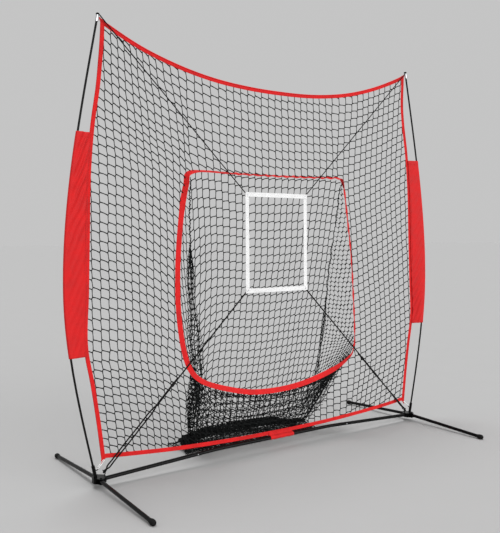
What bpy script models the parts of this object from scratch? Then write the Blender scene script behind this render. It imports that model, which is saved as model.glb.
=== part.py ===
"""Pop-up practice net: a bowed-pole net with a catch pocket, a strike zone and a folding steel base.

Metres, +Z up, +X to the right seen from the front, +Y towards the pocket. The origin is on the floor,
midway between the legs.
"""
import math

import bmesh
import bpy
import numpy as np
from mathutils import Matrix, Vector

# Clearance between pieces that touch
GAP = 0.0003

# Folding base
HUB_X = 1.0816
HUB_Z = 0.038
PIVOT_Y = 0.031
LEG_CAP_Y = 0.565
LEG_RADIUS = 0.00975
LEG_WALL = 0.0015
LEG_OVERHANG = 0.008
LEG_SLOT = 0.0216
CAP_RADIUS = 0.014
CAP_LENGTH = 0.036
CAP_SEAT = 0.0072
CAP_FLAT = 0.0005
BOLT_RADIUS = 0.003
BOLT_HEAD_RADIUS = 0.0065
BOLT_HEAD_HEIGHT = 0.0042
HUB_PLATE = 0.003
HUB_TONGUE = 0.036
HUB_NOSE = 0.029
HUB_CORE_HALF_WIDTH = 0.0155
HUB_EAR_RADIUS = 0.0135
HUB_TONGUE_HALF_WIDTH = 0.0145

# Base bar
BAR_RADIUS = 0.010
BAR_WALL = 0.0015
BAR_CENTRE_Z = 0.068
BAR_JOINT_X = 0.50
BAR_BEND_X = 0.40
BAR_END_X = 1.0805
BAR_END_DROP = 0.002
SPIGOT_LENGTH = 0.055
BUTTON_RADIUS = 0.003
BUTTON_PROUD = 0.0026
BUTTON_FLANGE_RADIUS = 0.0042
BUTTON_FLANGE_THICKNESS = 0.001
BUTTON_SEAT = 0.028
LEAF_LENGTH = 0.022
LEAF_WIRE = 0.0007

# Pole sockets
SOCKET_RADIUS = 0.00875
SOCKET_LENGTH = 0.0915
SOCKET_FLOOR = 0.012
SOCKET_CHAMFER = 0.0012
SOCKET_TOP_X = 1.1088
SOCKET_TOP_Z = 0.1088
SOCKET_SLOPE = 0.22

# Bowed poles
POLE_RADIUS = 0.00515
POLE_BELLY_X = 1.233
POLE_BELLY_Z = 0.95
POLE_TIP_X = 1.0586
POLE_TIP_Z = 2.224
POLE_TIP_SLOPE = -0.20
POLE_JOINTS_Z = (0.80, 1.50)
POLE_FERRULE_RADIUS = 0.0066
POLE_FERRULE_LENGTH = 0.060
POLE_FERRULE_DEPTH = 0.028
TIP_FERRULE_RADIUS = 0.0075
TIP_FERRULE_LENGTH = 0.033
TIP_FERRULE_DEPTH = 0.020
TIP_NECK_RADIUS = 0.0038
TIP_NECK_HEIGHT = 0.0062
TIP_DISC_RADIUS = 0.0070
TIP_DISC_HEIGHT = 0.0034

# Net and its binding tape
NET_LOW_Z = 0.130
NET_HIGH_Z = POLE_TIP_Z + 0.023
NET_CORNER_X = 1.038
NET_TOP_SAG = 0.218
NET_TOP_DROP = 0.002
NET_BOTTOM_MIDDLE = BAR_CENTRE_Z + BAR_RADIUS + 0.001
NET_BOTTOM_DROP = 0.001
TAPE_WIDTH = 0.022
TAPE_THICKNESS = 0.003
TAPE_Y = 0.016
STRAND = 0.004
TAB_HEIGHT = 0.022
TAB_SHOULDER = 0.004
# Share of the net's height and outer half width of its side, from its lower corner to its upper one
NET_SIDE = ((0, 1.059), (0.092, 1.083), (0.175, 1.109), (0.250, 1.137), (0.387, 1.130), (0.524, 1.121),
            (0.657, 1.111), (0.760, 1.090), (0.860, 1.057), (0.926, 1.044), (1, 1.038))

# Mouth of the catch pocket: x and z round the middle of its tape, from the top left corner clockwise
MOUTH = ((-0.53, 1.545), (-0.25, 1.548), (0.05, 1.549), (0.35, 1.553), (0.50, 1.553), (0.545, 1.50),
         (0.575, 1.37), (0.605, 1.05), (0.622, 0.70), (0.622, 0.56), (0.585, 0.475), (0.40, 0.400),
         (0.17, 0.342), (-0.10, 0.335), (-0.31, 0.375), (-0.495, 0.447), (-0.578, 0.56), (-0.62, 0.79),
         (-0.625, 1.04), (-0.603, 1.30), (-0.572, 1.47))
MOUTH_TAPE_WIDTH = 0.025
MOUTH_STEPS = 3
MOUTH_TOP_Z = 1.556
MOUTH_CORNER_Z = 0.505
MOUTH_SIDE_FROM_X = 0.49
MOUTH_FOOT_BELOW_Z = 0.56

# Catch pocket
POCKET_TOP_Z = 1.549
POCKET_DEPTH = 0.366
# Height and distance from the middle of the fold at each side of the pocket's back
POCKET_LEFT_FOLD = ((0.05, 0.350), (0.38, 0.350), (0.62, 0.370), (0.88, 0.432), (1.136, 0.488), (1.348, 0.506),
                    (1.549, 0.520))
POCKET_RIGHT_FOLD = ((0.05, 0.480), (0.30, 0.545), (0.60, 0.548), (0.85, 0.536), (1.38, 0.515), (1.549, 0.505))
POCKET_RIM_HALF_WIDTH = 0.498
POCKET_SIDE_DROP = 0.020
HEAP_HALF_WIDTH = 0.47
HEAP_FRONT_Y = 0.19
HEAP_BACK_Y = 0.43
HEAP_HEIGHT = 0.085
# Shares of the heap's half width, where its crest lies across its depth, and the crest's share of its height
HEAP_CREST = ((-1, -0.1), (-0.6, 0.5), (-0.2, 0.7), (0.4, 0.25), (1, -0.3))
HEAP_CREST_HEIGHT = ((-1, 0.72), (-0.6, 1.0), (-0.2, 1.0), (0.3, 0.72), (1, 0.42))
POCKET_FOOT_Z = HEAP_HEIGHT + STRAND / 2 + 2 * GAP
POCKET_FOOT_HALF_WIDTH = HEAP_HALF_WIDTH - 0.030
POCKET_FOOT_INSET = 0.020

# Side sleeves
SLEEVE_LOW_Z = 0.635
SLEEVE_HIGH_Z = 1.70
SLEEVE_CLOTH = 0.0015
SLEEVE_SEAM = 0.006
SLEEVE_EASE = 0.0013
FOLD_DEPTH = 0.004
FOLD_PITCH = 0.095
# Slant of a sleeve's folds, and the share of its height at which they are deepest
SLEEVE_FOLDS = {-1: (-1.2, 0.85), 1: (1.2, 0.12)}
FOLD_REACH = 0.28

# Strike zone
ZONE_HALF_WIDTH = 0.2165
ZONE_LOW_Z = 0.896
ZONE_HIGH_Z = 1.449
STRAP_WIDTH = 0.025
STRAP_THICKNESS = 0.002
STRAP_FRONT_Y = -0.0125

# Elastic cords
UPPER_CORD_RADIUS = 0.00275
LOWER_CORD_RADIUS = 0.003
LOOP_CORD_RADIUS = 0.0015
LOOP_HALF_WIDTH = 0.0052
LOOP_RISE = 0.005
LOOP_INSET = 0.008
LOOP_DROP = 0.007
HOOK_WIRE = 0.0025
# Hook on the hub: distance in from the bolts and height over the bracket, and the point that the cord lies on
CORD_HOOK_ROUTE = ((0.0301, -0.002), (0.0326, 0.004), (0.0351, 0.0095), (0.0356, 0.0151), (0.0316, 0.0192),
                   (0.0271, 0.0238), (0.0226, 0.0282))
CORD_HOOK_CATCH = 4
NET_HOOK_WIRE = 0.002
# Hook on the socket: distance in from its top and below it
NET_HOOK_ROUTE = ((0.0113, 0.0238), (0.0198, 0.0243), (0.0243, 0.0223), (0.0256, 0.0183), (0.0256, 0.0103))
SLIDER_FROM_HOOK = 0.5375
SLIDER_LENGTH = 0.024
SLIDER_RADIUS = 0.0088
TAIL_LENGTH = 0.045
# Half distance between the strands of a lower cord: in the slider, and where its loop opens above the hook
STRAND_SPREAD = 0.00345
LOOP_SPREAD = 0.0085
# Turn of the two strands about each other, in degrees, by distance from the hook
STRAND_TURN = ((0.0, 0), (0.02, 0), (0.07, 90), (0.12, 90), (0.34, 90), (0.42, 0), (0.45, 0), (0.48, 0), (1.5, 0))

# Bar tab
TAB_FROM_X = -0.050
TAB_TO_X = 0.115
TAB_CLOTH = 0.001

SIDES = (("left", -1), ("right", 1))
ENDS = (("front", -1), ("rear", 1))


# Scene and collections

def clear_scene():
    for obj in list(bpy.data.objects):
        bpy.data.objects.remove(obj)


def new_collection(name):
    made = bpy.data.collections.new(name)
    bpy.context.scene.collection.children.link(made)
    return made


def finish_material(name, colour, roughness, metallic=0.0):
    mat = bpy.data.materials.new(name)
    mat.use_nodes = True
    shader = mat.node_tree.nodes["Principled BSDF"]
    shader.inputs["Base Color"].default_value = (*colour, 1.0)
    shader.inputs["Roughness"].default_value = roughness
    shader.inputs["Metallic"].default_value = metallic
    mat.diffuse_color = (*colour, 1.0)
    return mat


clear_scene()
PARTS = new_collection("pop_up_practice_net")
CUTTERS = new_collection("cutters")

BLACK_STEEL = finish_material("black_steel", (0.018, 0.018, 0.020), 0.42, 0.3)
ZINC_STEEL = finish_material("zinc_steel", (0.55, 0.55, 0.56), 0.35, 1.0)
BLACK_RUBBER = finish_material("black_rubber", (0.012, 0.012, 0.012), 0.75)
BLACK_FIBREGLASS = finish_material("black_fibreglass", (0.022, 0.022, 0.022), 0.38)
BLACK_PLASTIC = finish_material("black_plastic", (0.02, 0.02, 0.02), 0.45)
BLACK_NETTING = finish_material("black_netting", (0.02, 0.02, 0.022), 0.8)
RED_TAPE = finish_material("red_tape", (0.61, 0.015, 0.020), 0.6)
RED_CLOTH = finish_material("red_cloth", (0.665, 0.023, 0.028), 0.55)
WHITE_WEBBING = finish_material("white_webbing", (0.85, 0.85, 0.85), 0.7)
BLACK_ELASTIC = finish_material("black_elastic", (0.02, 0.02, 0.02), 0.7)
WHITE_ELASTIC = finish_material("white_elastic", (0.8, 0.8, 0.8), 0.7)


# Making and joining shapes

def finish(obj, mat, smooth=True):
    obj.data.materials.clear()
    obj.data.materials.append(mat)
    if smooth:
        obj.data.shade_smooth()
        obj.data.set_sharp_from_angle(angle=math.radians(35))
    PARTS.objects.link(obj)
    return obj


def as_cutter(obj):
    CUTTERS.objects.link(obj)
    obj.hide_render = True
    obj.display_type = "WIRE"
    return obj


def boolean(obj, other, operation):
    step = obj.modifiers.new(operation.lower(), "BOOLEAN")
    step.operation = operation
    step.object = other
    step.solver = "EXACT"


def cut(obj, cutter):
    boolean(obj, as_cutter(cutter), "DIFFERENCE")


def join(obj, addition):
    boolean(obj, as_cutter(addition), "UNION")


def mesh_object(name, bm):
    bmesh.ops.recalc_face_normals(bm, faces=bm.faces)
    mesh = bpy.data.meshes.new(name)
    bm.to_mesh(mesh)
    bm.free()
    return bpy.data.objects.new(name, mesh)


def along(start, direction):
    """Matrix that puts local +Z along a direction, at a point."""
    turn = Vector(direction).to_track_quat("Z", "Y").to_matrix().to_4x4()
    return Matrix.Translation(Vector(start)) @ turn


def cylinder(name, start, end, radius, sides=12):
    start = Vector(start)
    end = Vector(end)
    length = (end - start).length
    bm = bmesh.new()
    bmesh.ops.create_cone(bm, cap_ends=True, segments=sides, radius1=radius, radius2=radius, depth=length)
    bmesh.ops.translate(bm, verts=bm.verts, vec=(0, 0, length / 2))
    made = mesh_object(name, bm)
    made.matrix_world = along(start, end - start)
    return made


def block(name, low, high):
    bm = bmesh.new()
    bmesh.ops.create_cube(bm, size=1.0)
    size = Vector(high) - Vector(low)
    bmesh.ops.scale(bm, verts=bm.verts, vec=size)
    bmesh.ops.translate(bm, verts=bm.verts, vec=(Vector(low) + Vector(high)) / 2)
    return mesh_object(name, bm)


def turned(name, profile, place, steps=12, closed=False):
    """Turned shape from (radius, height) points that run down the outer side, then up any bore."""
    mesh = bpy.data.meshes.new(name)
    edges = [(i, i + 1) for i in range(len(profile) - 1)]
    if closed:
        edges.append((len(profile) - 1, 0))
    mesh.from_pydata([(radius, 0, height) for radius, height in profile], edges, [])
    made = bpy.data.objects.new(name, mesh)
    screw = made.modifiers.new("screw", "SCREW")
    screw.steps = steps
    screw.render_steps = steps
    screw.use_merge_vertices = True
    screw.merge_threshold = 0.00001
    made.matrix_world = place
    return made


def pipe(name, start, end, radius, wall, steps=12):
    """Open-ended straight tube."""
    length = (Vector(end) - Vector(start)).length
    inner = radius - wall
    profile = [(radius, length), (radius, 0), (inner, 0), (inner, length)]
    return turned(name, profile, along(start, Vector(end) - Vector(start)), steps, closed=True)


def tube(name, points, radius, resolution=2, shares=None, caps=True, cyclic=False):
    """Round bar swept along points, as a mesh. shares are radii at the points as parts of the radius."""
    curve = bpy.data.curves.new(name, "CURVE")
    curve.dimensions = "3D"
    curve.bevel_depth = radius
    curve.bevel_resolution = resolution
    curve.use_fill_caps = caps and not cyclic
    curve.render_resolution_u = 0
    spline = curve.splines.new("POLY")
    spline.points.add(len(points) - 1)
    for index, place in enumerate(points):
        spline.points[index].co = (*place, 1.0)
        if shares:
            spline.points[index].radius = shares[index]
    spline.use_cyclic_u = cyclic
    return mesh_of_curve(name, curve)


def mesh_of_curve(name, curve):
    guide = bpy.data.objects.new(name + "_curve", curve)
    bpy.context.scene.collection.objects.link(guide)
    seen = guide.evaluated_get(bpy.context.evaluated_depsgraph_get())
    mesh = bpy.data.meshes.new_from_object(seen)
    mesh.name = name
    bpy.data.objects.remove(guide)
    bm = bmesh.new()
    bm.from_mesh(mesh)
    bmesh.ops.remove_doubles(bm, verts=bm.verts, dist=0.00001)
    bm.to_mesh(mesh)
    bm.free()
    return bpy.data.objects.new(name, mesh)


def flat(name, outlines, thickness, y):
    """Upright flat piece from closed (x, z) outlines, the first outside and the rest holes."""
    curve = bpy.data.curves.new(name, "CURVE")
    curve.dimensions = "2D"
    curve.fill_mode = "BOTH"
    curve.extrude = thickness / 2
    curve.render_resolution_u = 0
    for outline in outlines:
        spline = curve.splines.new("POLY")
        spline.points.add(len(outline) - 1)
        for index, (x, z) in enumerate(outline):
            spline.points[index].co = (x, z, 0.0, 1.0)
        spline.use_cyclic_u = True
    made = mesh_of_curve(name, curve)
    upright = Matrix.Rotation(math.radians(90), 4, "X")
    made.data.transform(Matrix.Translation((0, y, 0)) @ upright)
    return made


def lattice(name, columns, rows, place, mat):
    """Netting of square strands on a grid, where place gives the point for (u, v) in 0 to 1."""
    bm = bmesh.new()
    bmesh.ops.create_grid(bm, x_segments=columns, y_segments=rows, size=0.5)
    for vert in bm.verts:
        vert.co = Vector(place(vert.co.x + 0.5, vert.co.y + 0.5))
    made = mesh_object(name, bm)
    wire = made.modifiers.new("strands", "WIREFRAME")
    wire.thickness = STRAND
    wire.use_even_offset = True
    wire.use_boundary = True
    return finish(made, mat, smooth=False)


def through(points):
    """Smooth function through (position, value) points, with slopes taken from their neighbours."""
    at = np.array([point[0] for point in points], float)
    value = np.array([point[1] for point in points], float)
    slope = np.gradient(value, at)

    def height(position):
        position = min(max(position, at[0]), at[-1])
        index = min(int(np.searchsorted(at, position, "right")) - 1, len(at) - 2)
        span = at[index + 1] - at[index]
        t = (position - at[index]) / span
        start = (1 + 2 * t) * (1 - t) ** 2 * value[index] + t * (1 - t) ** 2 * span * slope[index]
        end = t * t * (3 - 2 * t) * value[index + 1] + t * t * (t - 1) * span * slope[index + 1]
        return float(start + end)

    return height


def closed_curve(points, steps):
    """Points of a smooth closed curve through the given ones, steps to each stretch."""
    count = len(points)
    ring = [Vector(point) for point in points]
    made = []
    for index in range(count):
        before, here, ahead, beyond = (ring[(index + shift) % count] for shift in (-1, 0, 1, 2))
        for step in range(steps):
            t = step / steps
            start = here * (1 + 2 * t) * (1 - t) ** 2 + (ahead - before) / 2 * t * (1 - t) ** 2
            end = ahead * t * t * (3 - 2 * t) + (beyond - here) / 2 * t * t * (t - 1)
            made.append(start + end)
    return made


def offset_ring(ring, distance):
    """Closed (x, z) outline moved sideways by a distance."""
    made = []
    for index, here in enumerate(ring):
        ahead = ring[(index + 1) % len(ring)] - ring[index - 1]
        side = Vector((-ahead.y, ahead.x)).normalized()
        made.append(here + side * distance)
    return made


def pivot(name, place, pieces):
    """Empty on a joint's axis that carries the pieces that move about it."""
    axis = bpy.data.objects.new(name, None)
    axis.empty_display_size = 0.02
    axis.location = place
    CUTTERS.objects.link(axis)
    for piece in pieces:
        piece.parent = axis
        piece.matrix_parent_inverse = Matrix.Translation(place).inverted()


# Curves that the pieces share

def bow(z):
    """Half width of the bowed pole's centre line at a height."""
    foot_z = SOCKET_TOP_Z
    if z <= foot_z:
        return SOCKET_TOP_X + SOCKET_SLOPE * (z - foot_z)
    if z <= POLE_BELLY_Z:
        span = POLE_BELLY_Z - foot_z
        t = (z - foot_z) / span
        foot = (1 + 2 * t) * (1 - t) ** 2 * SOCKET_TOP_X + t * (1 - t) ** 2 * span * SOCKET_SLOPE
        return foot + t * t * (3 - 2 * t) * POLE_BELLY_X
    if z <= POLE_TIP_Z:
        span = POLE_TIP_Z - POLE_BELLY_Z
        t = (z - POLE_BELLY_Z) / span
        tip = t * t * (3 - 2 * t) * POLE_TIP_X + t * t * (t - 1) * span * POLE_TIP_SLOPE
        return (1 + 2 * t) * (1 - t) ** 2 * POLE_BELLY_X + tip
    return POLE_TIP_X + POLE_TIP_SLOPE * (z - POLE_TIP_Z)


def bow_point(side, z):
    return Vector((side * bow(z), 0, z))


def bow_direction(side, z):
    return (bow_point(side, z + 0.001) - bow_point(side, z - 0.001)).normalized()


net_side_at = through(NET_SIDE)
pocket_folds = {-1: through(POCKET_LEFT_FOLD), 1: through(POCKET_RIGHT_FOLD)}
heap_crest = through(HEAP_CREST)
heap_crest_height = through(HEAP_CREST_HEIGHT)
MOUTH_CURVE = closed_curve(MOUTH, MOUTH_STEPS)


def net_side(z):
    """Outer half width of the net at a height."""
    return net_side_at((z - NET_LOW_Z) / (NET_HIGH_Z - NET_LOW_Z))


def net_top(x):
    return NET_HIGH_Z - NET_TOP_DROP - NET_TOP_SAG * (1 - (abs(x) / NET_CORNER_X) ** 2.35)


def net_bottom(x):
    rise = NET_LOW_Z - NET_BOTTOM_DROP - NET_BOTTOM_MIDDLE
    return NET_BOTTOM_MIDDLE + rise * (abs(x) / NET_CORNER_X) ** 2.2


def pocket_fold(side, z):
    """x of the fold at the left or right of the pocket's back."""
    return side * pocket_folds[side](z)


def mouth_side(side, z):
    """x of the mouth's left or right side at a height."""
    half = [point for point in MOUTH_CURVE if point.x * side > MOUTH_SIDE_FROM_X]
    half.sort(key=lambda point: point.y)
    return float(np.interp(z, [point.y for point in half], [point.x for point in half]))


def mouth_foot(x):
    """z of the mouth's lower edge at x."""
    low = [point for point in MOUTH_CURVE if point.y < MOUTH_FOOT_BELOW_Z]
    low.sort(key=lambda point: point.x)
    return float(np.interp(x, [point.x for point in low], [point.y for point in low]))


def pocket_y(z):
    """Depth of the pocket's back at a height."""
    return net_plane() + POCKET_DEPTH * (POCKET_TOP_Z - z) / (POCKET_TOP_Z - POCKET_FOOT_Z)


# Folding base

def leg_line(side, end):
    """Pivot and direction of a leg, which slopes from its bolt down to its cap."""
    start = Vector((side * HUB_X, end * PIVOT_Y, HUB_Z))
    cap = Vector((side * HUB_X, end * LEG_CAP_Y, CAP_RADIUS - CAP_FLAT))
    return start, cap, (cap - start).normalized()


def leg(side_name, side, end_name, end):
    """Leg tube, drilled for its bolt, with a rubber cap over its end."""
    start, cap_centre, direction = leg_line(side, end)
    name = side_name + "_" + end_name
    foot = cap_centre - direction * CAP_SEAT
    made = pipe(name + "_leg", start - direction * LEG_OVERHANG, foot, LEG_RADIUS, LEG_WALL)
    reach = Vector((0, 0, LEG_SLOT))
    cut(made, cylinder(name + "_leg_hole", start - reach, start + reach, BOLT_RADIUS + GAP, 8))
    finish(made, BLACK_STEEL)

    cap = leg_cap(name + "_leg_cap", cap_centre, direction)
    pivot(name + "_leg_pivot", start, (made, cap))
    leg_bolt(name + "_leg_bolt", start)


def leg_cap(name, centre, direction):
    """Bulbous rubber cap with a socket for the leg, worn flat where it meets the floor."""
    bore = LEG_RADIUS + GAP
    half = CAP_LENGTH / 2
    depth = GAP - CAP_SEAT
    profile = [(0, half), (CAP_RADIUS * 0.45, half * 0.97), (CAP_RADIUS * 0.8, half * 0.78),
               (CAP_RADIUS * 0.97, half * 0.4), (CAP_RADIUS, 0), (CAP_RADIUS * 0.95, -half * 0.5),
               (CAP_RADIUS * 0.82, -half * 0.85), (CAP_RADIUS * 0.82, -half),
               (bore, -half), (bore, depth), (0, depth)]
    made = turned(name, profile, along(centre, direction), 14)
    reach = CAP_LENGTH
    low = (centre.x - reach, centre.y - reach, -reach)
    cut(made, block(name + "_floor", low, (centre.x + reach, centre.y + reach, 0)))
    return finish(made, BLACK_RUBBER)


def leg_bolt(name, centre):
    """Pivot bolt with a domed head above the bracket and a dome nut below it."""
    top = LEG_SLOT / 2 + HUB_PLATE + GAP
    head = BOLT_HEAD_RADIUS
    profile = [(0, top + BOLT_HEAD_HEIGHT), (head * 0.6, top + BOLT_HEAD_HEIGHT * 0.8), (head, top + 0.001),
               (head, top), (BOLT_RADIUS, top), (BOLT_RADIUS, -top), (head, -top), (head, -top - 0.003),
               (head * 0.6, -top - BOLT_HEAD_HEIGHT), (0, -top - BOLT_HEAD_HEIGHT)]
    return finish(turned(name, profile, Matrix.Translation(centre), 10), ZINC_STEEL)


def hub_outline(side):
    """Plan of the bracket: a tongue over the bar, an ear round each bolt and a nose round the socket."""
    points = [(-HUB_TONGUE, HUB_TONGUE_HALF_WIDTH)]
    for step in range(6):
        turn = math.radians(150 - 30 * step)
        points.append((HUB_EAR_RADIUS * math.cos(turn), PIVOT_Y + HUB_EAR_RADIUS * math.sin(turn)))
    points.append((HUB_NOSE, HUB_CORE_HALF_WIDTH * 0.7))
    mirrored = [(x, -y) for x, y in reversed(points)]
    return [(side * (HUB_X + x), y) for x, y in points + mirrored]


def hub_bracket(name, side):
    """Steel bracket, slotted for the legs and bored for the bar and the pole socket."""
    half = LEG_SLOT / 2 + HUB_PLATE
    bm = bmesh.new()
    rim = [bm.verts.new((x, y, HUB_Z - half)) for x, y in hub_outline(side)]
    base = bm.faces.new(rim)
    grown = bmesh.ops.extrude_face_region(bm, geom=[base])
    lifted = [item for item in grown["geom"] if isinstance(item, bmesh.types.BMVert)]
    bmesh.ops.translate(bm, verts=lifted, vec=(0, 0, 2 * half))
    made = mesh_object(name, bm)

    for end_name, end in ENDS:
        near = HUB_CORE_HALF_WIDTH
        far = PIVOT_Y + HUB_EAR_RADIUS * 2
        low_y, high_y = sorted((end * near, end * far))
        low_x, high_x = sorted((side * (HUB_X - HUB_TONGUE * 1.5), side * (HUB_X + HUB_NOSE * 1.5)))
        low = (low_x, low_y, HUB_Z - LEG_SLOT / 2)
        high = (high_x, high_y, HUB_Z + LEG_SLOT / 2)
        cut(made, block(name + "_" + end_name + "_slot", low, high))
        bolt = Vector((side * HUB_X, end * PIVOT_Y, HUB_Z))
        reach = Vector((0, 0, half * 2))
        hole = cylinder(name + "_" + end_name + "_hole", bolt - reach, bolt + reach, BOLT_RADIUS + GAP, 8)
        cut(made, hole)

    inner, outer = bar_line(side)
    depth = (outer - inner).normalized()
    cut(made, cylinder(name + "_bar_bore", inner, outer + depth * GAP, BAR_RADIUS + GAP))
    low, high = socket_line(side)
    slant = (high - low).normalized() * SOCKET_LENGTH
    cut(made, cylinder(name + "_socket_bore", low - slant, high + slant, SOCKET_RADIUS + GAP))
    join(made, tube(name + "_hook", cord_hook(side), HOOK_WIRE, 2))
    return finish(made, BLACK_STEEL, smooth=False)


def cord_hook(side):
    """Cranked peg on the bracket that the lower cord loops over."""
    top = HUB_Z + LEG_SLOT / 2 + HUB_PLATE
    return [(side * (HUB_X - inward), 0, top + rise) for inward, rise in CORD_HOOK_ROUTE]


def cord_hook_centre(side):
    return Vector(cord_hook(side)[CORD_HOOK_CATCH])


def socket_line(side):
    """Foot and top of the slanting pole socket's axis."""
    top = Vector((side * SOCKET_TOP_X, 0, SOCKET_TOP_Z))
    slant = Vector((side * SOCKET_SLOPE, 0, 1)).normalized()
    return top - slant * SOCKET_LENGTH, top


def pole_socket(name, side):
    """Blind steel tube for the pole's foot, with a hook for the net's lower corner."""
    foot, top = socket_line(side)
    bore = POLE_RADIUS + GAP
    profile = [(0, SOCKET_LENGTH), (SOCKET_RADIUS, SOCKET_LENGTH), (SOCKET_RADIUS, SOCKET_CHAMFER),
               (SOCKET_RADIUS - SOCKET_CHAMFER, 0), (0, 0)]
    made = turned(name, profile, along(foot, top - foot))
    upward = (top - foot).normalized()
    cut(made, cylinder(name + "_bore", foot + upward * SOCKET_FLOOR, top + upward * SOCKET_FLOOR, bore))
    join(made, tube(name + "_hook", net_hook(side), NET_HOOK_WIRE, 2))
    return finish(made, BLACK_STEEL)


def net_hook(side):
    """J-shaped wire on the socket's inner side."""
    return [(side * (SOCKET_TOP_X - inward), 0, SOCKET_TOP_Z - drop) for inward, drop in NET_HOOK_ROUTE]


# Base bar

def bar_line(side):
    """Inner and outer end of an outer bar tube."""
    inner = Vector((side * BAR_JOINT_X, 0, BAR_CENTRE_Z - bar_slope() * (BAR_JOINT_X - BAR_BEND_X)))
    outer = Vector((side * BAR_END_X, 0, HUB_Z - BAR_END_DROP))
    return inner, outer


def bar_slope():
    """Fall of the bar from its bend to the hub."""
    return (BAR_CENTRE_Z - HUB_Z + BAR_END_DROP) / (BAR_END_X - BAR_BEND_X)


def button_place(side):
    inner, outer = bar_line(side)
    return inner + (outer - inner).normalized() * BUTTON_SEAT


def button_hole(name, side):
    centre = button_place(side)
    reach = Vector((0, -BAR_RADIUS * 2, 0))
    return cylinder(name, centre, centre + reach, BUTTON_RADIUS + GAP, 12)


def outer_bar(name, side):
    inner, outer = bar_line(side)
    made = pipe(name, inner + (outer - inner).normalized() * GAP, outer, BAR_RADIUS, BAR_WALL)
    cut(made, button_hole(name + "_button_hole", side))
    return finish(made, BLACK_STEEL)


def centre_bar(name):
    """Centre tube, bent down at both ends and swaged to a spigot that enters each outer tube."""
    spigot = (BAR_RADIUS - BAR_WALL - GAP) / BAR_RADIUS
    right = [(0.0, 1.0), (BAR_BEND_X - 0.06, 1.0), (BAR_BEND_X - 0.03, 1.0), (BAR_BEND_X, 1.0),
             (BAR_BEND_X + 0.03, 1.0), (BAR_JOINT_X - 0.004, 1.0), (BAR_JOINT_X - 0.0005, spigot),
             (BAR_JOINT_X + SPIGOT_LENGTH, spigot)]
    stretch = [(-x, share) for x, share in reversed(right[1:])] + right
    points = [(x, 0, centre_bar_height(x)) for x, share in stretch]
    made = tube(name, points, BAR_RADIUS, 4, [share for x, share in stretch], caps=False)
    wall = made.modifiers.new("wall", "SOLIDIFY")
    wall.thickness = BAR_WALL
    wall.offset = -1
    for side_name, side in SIDES:
        cut(made, button_hole(name + "_" + side_name + "_button_hole", side))
    return finish(made, BLACK_STEEL)


def centre_bar_height(x):
    """Level in the middle, then an eased bend onto the outer tubes' line."""
    past = abs(x) - BAR_BEND_X
    ease = 0.06
    if past <= -ease:
        return BAR_CENTRE_Z
    if past >= ease:
        return BAR_CENTRE_Z - bar_slope() * past
    return BAR_CENTRE_Z - bar_slope() * (past + ease) ** 2 / (4 * ease)


def snap_button(name, side):
    """Domed button with a flange inside the spigot and the leaf spring that pushes it out."""
    centre = button_place(side)
    top = BAR_RADIUS + BUTTON_PROUD
    bore = BAR_RADIUS - 2 * BAR_WALL - GAP
    seat = math.sqrt(bore ** 2 - BUTTON_FLANGE_RADIUS ** 2) - 2 * GAP
    under = seat - BUTTON_FLANGE_THICKNESS
    profile = [(0, top), (BUTTON_RADIUS * 0.7, top - 0.0006), (BUTTON_RADIUS, top - 0.002),
               (BUTTON_RADIUS, seat), (BUTTON_FLANGE_RADIUS, seat), (BUTTON_FLANGE_RADIUS, under), (0, under)]
    made = turned(name, profile, along(centre, (0, -1, 0)), 12)
    leaf_x = side * LEAF_LENGTH
    leaf = [(0, -under - LEAF_WIRE / 2, 0), (leaf_x * 0.5, -under + LEAF_WIRE * 3, 0), (leaf_x, 0.0, 0)]
    spring = tube(name + "_leaf", [centre + Vector(point) for point in leaf], LEAF_WIRE, 1)
    join(made, spring)
    finish(made, ZINC_STEEL)
    pivot(name + "_slide", centre, (made,))


# Bowed poles

def pole_points(side, low, high, spacing=0.085):
    count = max(3, round((high - low) / spacing) + 1)
    return [bow_point(side, z) for z in np.linspace(low, high, count)]


def pole_section(name, side, low, high, socketed):
    """Length of fibreglass pole, which may end in a ferrule that takes the next length."""
    points = pole_points(side, low, high)
    if not socketed:
        return finish(tube(name, points, POLE_RADIUS, 3), BLACK_FIBREGLASS)
    start = high - POLE_FERRULE_LENGTH
    wide = POLE_FERRULE_RADIUS / POLE_RADIUS
    plain = pole_points(side, low, start - 0.001)
    ferrule = pole_points(side, start, high, 0.03)
    shares = [1.0] * len(plain) + [wide] * len(ferrule)
    made = tube(name, plain + ferrule, POLE_RADIUS, 3, shares)
    reach = POLE_FERRULE_DEPTH
    bottom = bow_point(side, high - reach)
    top = bow_point(side, high + reach)
    cut(made, cylinder(name + "_bore", bottom, top, POLE_RADIUS + 2 * GAP))
    return finish(made, BLACK_FIBREGLASS)


def poles(side_name, side):
    foot, top = socket_line(side)
    floor = foot + (top - foot).normalized() * (SOCKET_FLOOR + GAP)
    first, second = POLE_JOINTS_Z
    tip = POLE_TIP_Z + TIP_FERRULE_DEPTH
    overlap = POLE_FERRULE_DEPTH - GAP
    pole_section(side_name + "_pole_lower", side, floor.z, first, True)
    pole_section(side_name + "_pole_middle", side, first - overlap, second, True)
    pole_section(side_name + "_pole_upper", side, second - overlap, tip - GAP * 2, False)


def tip_place(side, rise):
    """Frame on the pole tip's axis, a distance above the foot of its ferrule."""
    upward = bow_direction(side, POLE_TIP_Z + 0.002)
    return along(bow_point(side, POLE_TIP_Z) + upward * rise, upward)


def tip_ferrule(name, side):
    bore = POLE_RADIUS + GAP
    radius = TIP_FERRULE_RADIUS
    length = TIP_FERRULE_LENGTH
    floor = TIP_FERRULE_DEPTH + 0.001
    profile = [(0, length), (radius - 0.001, length), (radius, length - 0.001), (radius, 0.001),
               (radius - 0.001, 0), (bore, 0), (bore, floor), (0, floor)]
    return finish(turned(name, profile, tip_place(side, 0)), ZINC_STEEL)


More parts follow.
